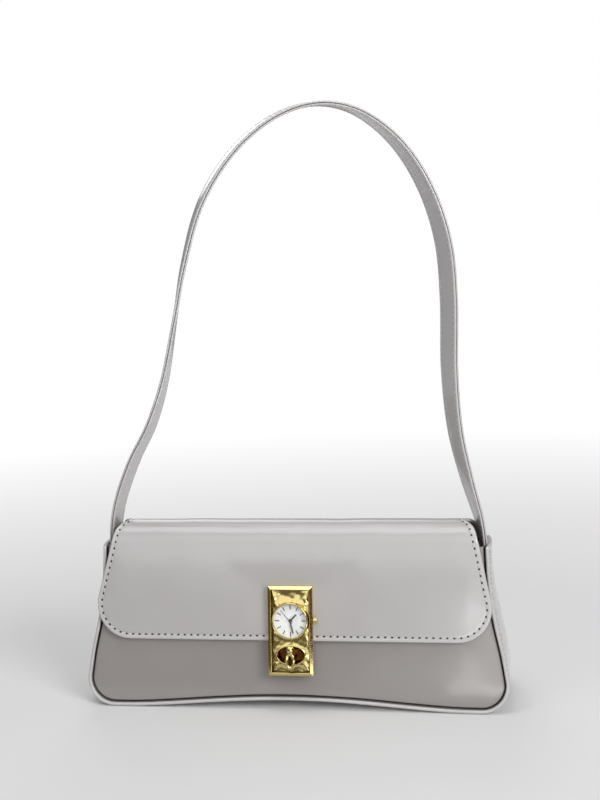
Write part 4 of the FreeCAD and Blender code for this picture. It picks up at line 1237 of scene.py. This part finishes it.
line, places = through(STRAP_LINE, POINTS_PER_SPAN)
centre = np.column_stack([line[:, 0], np.full(len(line), STRAP_Y), line[:, 1]])
forward = unit(np.gradient(centre, axis=0))
out = np.column_stack([-forward[:, 2], np.zeros(len(line)), forward[:, 0]])
turn = np.pad(np.radians(from_table(places, TWIST)), TWIST_SMOOTHING // 2, mode="edge")
turn = np.convolve(turn, np.ones(TWIST_SMOOTHING) / TWIST_SMOOTHING, mode="valid")
sideways = np.cos(turn)[:, None] * np.array([0, 1.0, 0]) + np.sin(turn)[:, None] * out
face_up = np.cross(sideways, forward)
face_up *= np.where(np.sum(face_up * out, axis=1) < 0, -1.0, 1.0)[:, None]
print("strap length in mm:", round(float(walked_along(centre)[-1]), 1))

# %% [markdown]
# The section shows both layers: each has its own rounded edge, and between them lies a glue line in
# a small notch. The number called edge is zero there, so the leather finish makes it dark: the glue's
# own dark with a painted shade for the notch. The rounded edges get the pale edge tone, partly a
# painted highlight, and a faint painted shade follows the stitch channels. One quarter of the section
# is written down, and the other three mirror it.

# %% Make the strap
# Half width, half height and edge number, from the middle of the face round to the glue line
STRAP_QUARTER = [
    (0.0, 1.42, 6.0), (3.0, 1.40, 6.0), (5.0, 1.37, 4.0), (5.6, 1.30, 3.0), (6.0, 1.22, 2.6),
    (6.4, 1.30, 2.2), (6.9, 1.36, 1.6), (7.35, 1.35, 1.0), (7.72, 1.24, 1.0), (7.94, 0.95, 1.0),
    (8.0, 0.62, 1.0), (7.9, 0.32, 0.9), (7.62, 0.1, 0.2), (7.3, 0.0, 0.0)]

section = STRAP_QUARTER + [(w, -h, e) for w, h, e in STRAP_QUARTER[-2::-1]]
section = np.array(section + [(-w, h, e) for w, h, e in section[-2:0:-1]])
around, rows = len(section), len(centre)
points = centre[:, None] + section[:, :1] * sideways[:, None] + section[:, 1:2] * face_up[:, None]
faces = tube_faces(rows, around) + [ring_of(0, around), ring_of(rows - 1, around)]
strap = new_piece(
    "strap_band", points.reshape(-1, 3), faces, [grey_leather], edge=np.tile(section[:, 2], rows))
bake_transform(strap)
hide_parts("strap_outer", "strap_inner", "strap_end_left", "strap_end_right")

# %% [markdown]
# Four rows of stitches hold the layers together, two on each face. They lie in the shallow channels
# that the section has beside its edges.

# %% Stitch the strap
STRAP_CHANNEL_AT, STRAP_CHANNEL_UP = 6.0, 1.22
STRAP_STITCH = dict(pitch=3.3, length=1.9, thickness=0.36, hole=0.20, slant=0.15)

for word, over in (("outside", 1), ("inside", -1)):
    for edge_word, side in (("front", -1), ("back", 1)):
        line = centre + side * STRAP_CHANNEL_AT * sideways + over * STRAP_CHANNEL_UP * face_up
        seam = stitches(
            f"strap_stitches_{word}_{edge_word}", line, over * face_up, grey_thread, **STRAP_STITCH)
        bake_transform(seam)

# %% [markdown]
# ## The lock plate
# The lock is a cast plate with a mitred frame round it, an opening for the watch and an oval slot for
# the knob. It leans with the flap, so it is worked out in axes of its own: across, up and out.

# %% The lock's own axes and grid
PLATE_WIDE, PLATE_LONG = 27.4, 54.3
DIAL_UP, KNOB_UP = 6.2, -14.8
SLOT_WIDE, SLOT_HIGH = 17.0, 10.8
LOCK_AT = np.array([0.0, -21.9633, 49.4])
LOCK_ACROSS = np.array([1.0, 0, 0])
LOCK_UP = np.array([0.0, math.sin(LEAN), math.cos(LEAN)])
LOCK_OUT = np.array([0.0, -math.cos(LEAN), math.sin(LEAN)])
PLATE_COLUMNS, PLATE_ROWS = 138, 272


def on_lock(points):
    """From the lock's own axes to the bag's."""
    points = np.asarray(points, float)
    return LOCK_AT + points[..., :1] * LOCK_ACROSS + points[..., 1:2] * LOCK_UP + points[..., 2:] * LOCK_OUT


across_plate = np.linspace(-PLATE_WIDE / 2, PLATE_WIDE / 2, PLATE_COLUMNS)
up_plate = np.linspace(-PLATE_LONG / 2, PLATE_LONG / 2, PLATE_ROWS)
gx, gy = np.meshgrid(across_plate, up_plate)
inside = np.minimum(PLATE_WIDE / 2 - np.abs(gx), PLATE_LONG / 2 - np.abs(gy))
dial_reach = np.hypot(gx, gy - DIAL_UP)
# 1 on the slot's edge, less inside it
slot_reach = np.sqrt((gx / (SLOT_WIDE / 2)) ** 2 + ((gy - KNOB_UP) / (SLOT_HIGH / 2)) ** 2)
print("plate grid:", gx.shape)

# %% [markdown]
# Inside the frame the metal dips and swells like a stretched skin, pulled up round the watch, round
# the slot and along a few creases. That form is a membrane, so it is worked out as one: the height is
# held at those places, and every other place takes the mean of its neighbours, a little lower. A few
# steps held at the frame alone then round the creases off, and waves make the surface look cast.

# %% Work out the plate's face
FRAME, FACE_FOOT, FACE_START = 2.4, 3.5, 4.0
BEZEL_OUT, BEZEL_HOLD = 11.5, 4.0
LIP_OUT, LIP_HOLD = 1.13, 4.1
# Ends of the creases on the right half, each across, up and out
CREASES = [((8.2, 14.0, 4.4), (11.2, 24.4, 4.1)), ((9.0, -1.2, 4.4), (10.4, -8.6, 4.2)),
           ((7.0, -18.6, 4.3), (11.2, -24.6, 4.0))]
CREASE_STEPS, SKIN_STEPS, ROUNDING_STEPS = 160, 2500, 10
SKIN_SAG = 0.0010
FRAME_CALM, BEZEL_CALM, LIP_CALM = 1.5, 1.2, 0.25


def neighbours_mean(values):
    above, below = np.roll(values, 1, 0), np.roll(values, -1, 0)
    return (above + below + np.roll(values, 1, 1) + np.roll(values, -1, 1)) / 4


height = np.full(gx.shape, FACE_START)
held = (inside < FRAME) | (dial_reach < BEZEL_OUT) | (slot_reach < LIP_OUT)
height[inside < FRAME] = FACE_FOOT
height[dial_reach < BEZEL_OUT] = BEZEL_HOLD
height[slot_reach < LIP_OUT] = LIP_HOLD
for start, end in CREASES:
    for share in np.linspace(0, 1, CREASE_STEPS):
        spot = np.array(start) * (1 - share) + np.array(end) * share
        r = int(np.argmin(np.abs(up_plate - spot[1])))
        for side in (-1, 1):
            c = int(np.argmin(np.abs(across_plate - side * spot[0])))
            if not held[r, c] or share > 0:
                height[r, c] = spot[2]
                held[r, c] = True
for step in range(SKIN_STEPS):
    height = np.where(held, height, neighbours_mean(height) - SKIN_SAG)
for step in range(ROUNDING_STEPS):
    height = np.where(inside < FRAME, height, neighbours_mean(height))
wrinkle = (0.09 * np.sin(0.9 * np.abs(gx) + 0.55 * gy + 1.2 * np.sin(0.35 * gy))
           + 0.06 * np.sin(1.2 * gx - 0.9 * gy + 0.7) + 0.05 * np.sin(0.5 * gx + 1.4 * gy + 2.0))
calm = share_of(inside, FRAME, FRAME_CALM) * share_of(dial_reach, BEZEL_OUT, BEZEL_CALM)
height = height + wrinkle * calm * share_of(slot_reach, LIP_OUT, LIP_CALM)
print("plate face from", round(float(height.min()), 2), "to", round(float(height.max()), 2))

# %% [markdown]
# The frame is laid over the membrane: a bevel rises from the outer edge, and a short wall drops from
# its crest to the face. The bevels meet in mitres at the corners by themselves, because the height
# depends on the nearest edge only. The wall gets the groove gold's painted shade, and a skirt closes the
# sides.

# %% Make the plate
BEVEL_FOOT, BEVEL_RISE, BEVEL_WIDE = 4.3, 1.3, 1.8
WALL_FROM = 1.9
GROOVE_FROM, GROOVE_TO = 1.95, FRAME + 0.1
DIAL_OPENING, SLOT_OPENING = 10.3, 1.02

crest = share_of(inside, 0, BEVEL_WIDE) * BEVEL_RISE + BEVEL_FOOT
wall = smooth(share_of(inside, WALL_FROM, FRAME - WALL_FROM))
height = np.where(inside < FRAME, crest * (1 - wall) + FACE_FOOT * wall, height)
keep = (dial_reach > DIAL_OPENING) & (slot_reach > SLOT_OPENING)
points = np.stack([gx, gy, height], axis=2).reshape(-1, 3)
faces, marks = [], []
for r in range(PLATE_ROWS - 1):
    for c in range(PLATE_COLUMNS - 1):
        if keep[r:r + 2, c:c + 2].all():
            a = r * PLATE_COLUMNS + c
            faces.append((a, a + 1, a + PLATE_COLUMNS + 1, a + PLATE_COLUMNS))
            # Faces on the frame's inner wall get the groove gold's painted shade.
            marks.append(int(GROOVE_FROM < inside[r, c] < GROOVE_TO))
border = [r * PLATE_COLUMNS + c for r, c in border_of(PLATE_ROWS, PLATE_COLUMNS)]
skirt = points[border] * [1, 1, 0]
first, count = len(points), len(border)
points = np.vstack([points, points[border], skirt])
for i in range(count):
    j = (i + 1) % count
    faces.append((first + i, first + count + i, first + count + j, first + j))
plate = new_piece(
    "lock_plate_face", on_lock(points), faces, [gold, groove_shade_gold], marks=marks + [0] * count)
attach(plate, "flap")
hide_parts("lock_plate")

# %% [markdown]
# A rolled lip goes round the slot, and a rounded bezel round the watch. Both are rings: a small
# section is carried round an oval or a circle.

# %% Make the slot lip and the bezel
RING_TURNS = 96
BEZEL_RADIUS = 10.5
# Outward and height of each point of the section, from the outside in
LIP_SECTION = [(0.9, 4.0), (0.6, 4.25), (0.35, 4.36), (0.15, 4.33), (0.02, 4.16), (0.0, 3.9), (0.0, 0.1)]
BEZEL_SECTION = [(1.15, 3.6), (0.95, 4.5), (0.82, 5.7), (0.58, 6.3), (0.3, 6.6), (0.05, 6.62),
                 (-0.15, 6.45), (-0.25, 6.1), (-0.28, 5.4), (-0.3, 3.5)]


def ring_piece(name, section, wide, high, up):
    """A section carried round an oval with these half sizes, its middle at a height on the lock."""
    points = []
    for t in np.linspace(0, 2 * math.pi, RING_TURNS, endpoint=False):
        spot = np.array([wide * math.cos(t), high * math.sin(t)])
        outward = unit(np.array([high * math.cos(t), wide * math.sin(t)]))
        for out, rise in section:
            where = spot + out * outward
            points.append((where[0], up + where[1], rise))
    faces = []
    for i in range(RING_TURNS):
        a, b = i * len(section), (i + 1) % RING_TURNS * len(section)
        faces += [(a + k, b + k, b + k + 1, a + k + 1) for k in range(len(section) - 1)]
    return new_piece(name, on_lock(points), faces, [gold])


lip = ring_piece("slot_lip", LIP_SECTION, SLOT_WIDE / 2, SLOT_HIGH / 2, KNOB_UP)
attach(lip, "flap")
bezel = ring_piece("watch_bezel", BEZEL_SECTION, BEZEL_RADIUS, BEZEL_RADIUS, DIAL_UP)
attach(bezel, "flap")
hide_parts("watch_case")

# %% [markdown]
# ## The turn knob
# The knob looks like a bud: a round lobe on top, and below it a leaf with a raised rim and a hollow
# middle, ending in a soft point. It is lofted from sections along its length. Three tables give the
# half width, the rise and the hollow, from 0 at the point to 1 at the top.

# %% Form of the knob
KNOB_LONG, KNOB_LIFT, KNOB_LOWER = 14.6, 7.3, 1.0
KNOB_DROP = 1.9
KNOB_HALF = [(0, 1.3), (0.06, 1.6), (0.15, 2.25), (0.3, 3.0), (0.42, 3.2), (0.55, 2.85), (0.64, 2.2),
             (0.70, 1.75), (0.75, 1.95), (0.82, 2.3), (0.9, 2.3), (1.0, 2.2)]
KNOB_RISE = [(0, 1.0), (0.1, 1.3), (0.3, 1.5), (0.5, 1.4), (0.64, 1.1), (0.71, 1.1), (0.8, 1.9), (0.9, 2.0),
             (1.0, 1.7)]
KNOB_HOLLOW = [(0, 0), (0.08, 0.25), (0.2, 1.2), (0.45, 1.35), (0.6, 0.7), (0.68, 0), (1.0, 0)]
KNOB_LOOPS, KNOB_AROUND = 90, 64
HOLLOW_WIDE, END_SQUARENESS = 0.55, 12

points, dips = [], []
for i in range(KNOB_LOOPS):
    place = 0.0005 + 0.999 * (0.5 - 0.5 * math.cos(math.pi * i / (KNOB_LOOPS - 1)))
    closing = math.sqrt(max(0.0, 1 - (2 * place - 1) ** END_SQUARENESS))
    half_wide = from_table(place, KNOB_HALF) * closing
    rise, drop = from_table(place, KNOB_RISE) * closing, KNOB_DROP * closing
    hollow = from_table(place, KNOB_HOLLOW)
    for k in range(KNOB_AROUND):
        a = 2 * math.pi * k / KNOB_AROUND
        side, lift = math.cos(a), math.sin(a)
        dip = hollow * max(0.0, lift) * math.exp(-(side / HOLLOW_WIDE) ** 4)
        lift = rise * lift if lift > 0 else drop * lift
        along = KNOB_UP - KNOB_LOWER + (place - 0.5) * KNOB_LONG
        points.append((half_wide * side, along, KNOB_LIFT + lift - dip))
        dips.append(dip)
print("knob form points:", len(points), "deepest hollow:", round(float(max(dips)), 2))

# %% [markdown]
# A short round stem goes down from the form into the boss under the plate. The bottom of the hollow
# gets the groove gold's painted shade.

# %% Make the knob
STEM_RADIUS, STEM_TOP, STEM_FOOT, STEM_SIDES = 1.9, 5.6, -2.0, 24
HOLLOW_DARK = 0.75

faces = tube_faces(KNOB_LOOPS, KNOB_AROUND)
faces += [ring_of(0, KNOB_AROUND)[::-1], ring_of(KNOB_LOOPS - 1, KNOB_AROUND)]
# Faces deep in the hollow get the groove gold's painted shade.
marks = [int(all(dips[v] > HOLLOW_DARK for v in face)) for face in faces]
stem_faces = tube_faces(2, STEM_SIDES, len(points))
for stem_z in (STEM_TOP, STEM_FOOT):
    for t in np.linspace(0, 2 * math.pi, STEM_SIDES, endpoint=False):
        points.append((STEM_RADIUS * math.cos(t), KNOB_UP + STEM_RADIUS * math.sin(t), stem_z))
knob = new_piece("turn_knob_bud", on_lock(points), faces + stem_faces, [gold, groove_shade_gold],
                 marks=marks + [0] * len(stem_faces))
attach(knob, "knob")
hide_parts("turn_knob")

# %% [markdown]
# ## Finishes on the CAD parts
# The parts whose shape is right as it comes keep their CAD mesh: the dial, the hands, the crown, the
# boss under the knob, and what is hidden inside. They only get the finishes from above. The glass
# throws no shadow, so that the dial under it stays bright.

# %% Give the CAD parts their finishes
CAD_FINISH = {
    "front_board": stiffener, "back_board": stiffener, "base_board": stiffener, "lock_backing": plated_steel,
    "plate_screws": plated_steel, "crystal": crystal_glass, "dial": dial_white, "movement": movement_resin,
    "button_cell": plated_steel, "hour_markers": hand_black, "second_hand": hand_black,
    "minute_hand": hand_black, "hour_hand": hand_black, "crown_stem": plated_steel, "crown": gold,
    # The boss and the rivets get the gold with painted shade.
    "lock_base": shaded_gold, "lock_washer": plated_steel, "lock_rivets": shaded_gold}

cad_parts["crystal"].visible_shadow = False
for name, finish in CAD_FINISH.items():
    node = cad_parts[name]
    node.data.materials.clear()
    node.data.materials.append(finish)
print("CAD parts given a finish:", len(CAD_FINISH))
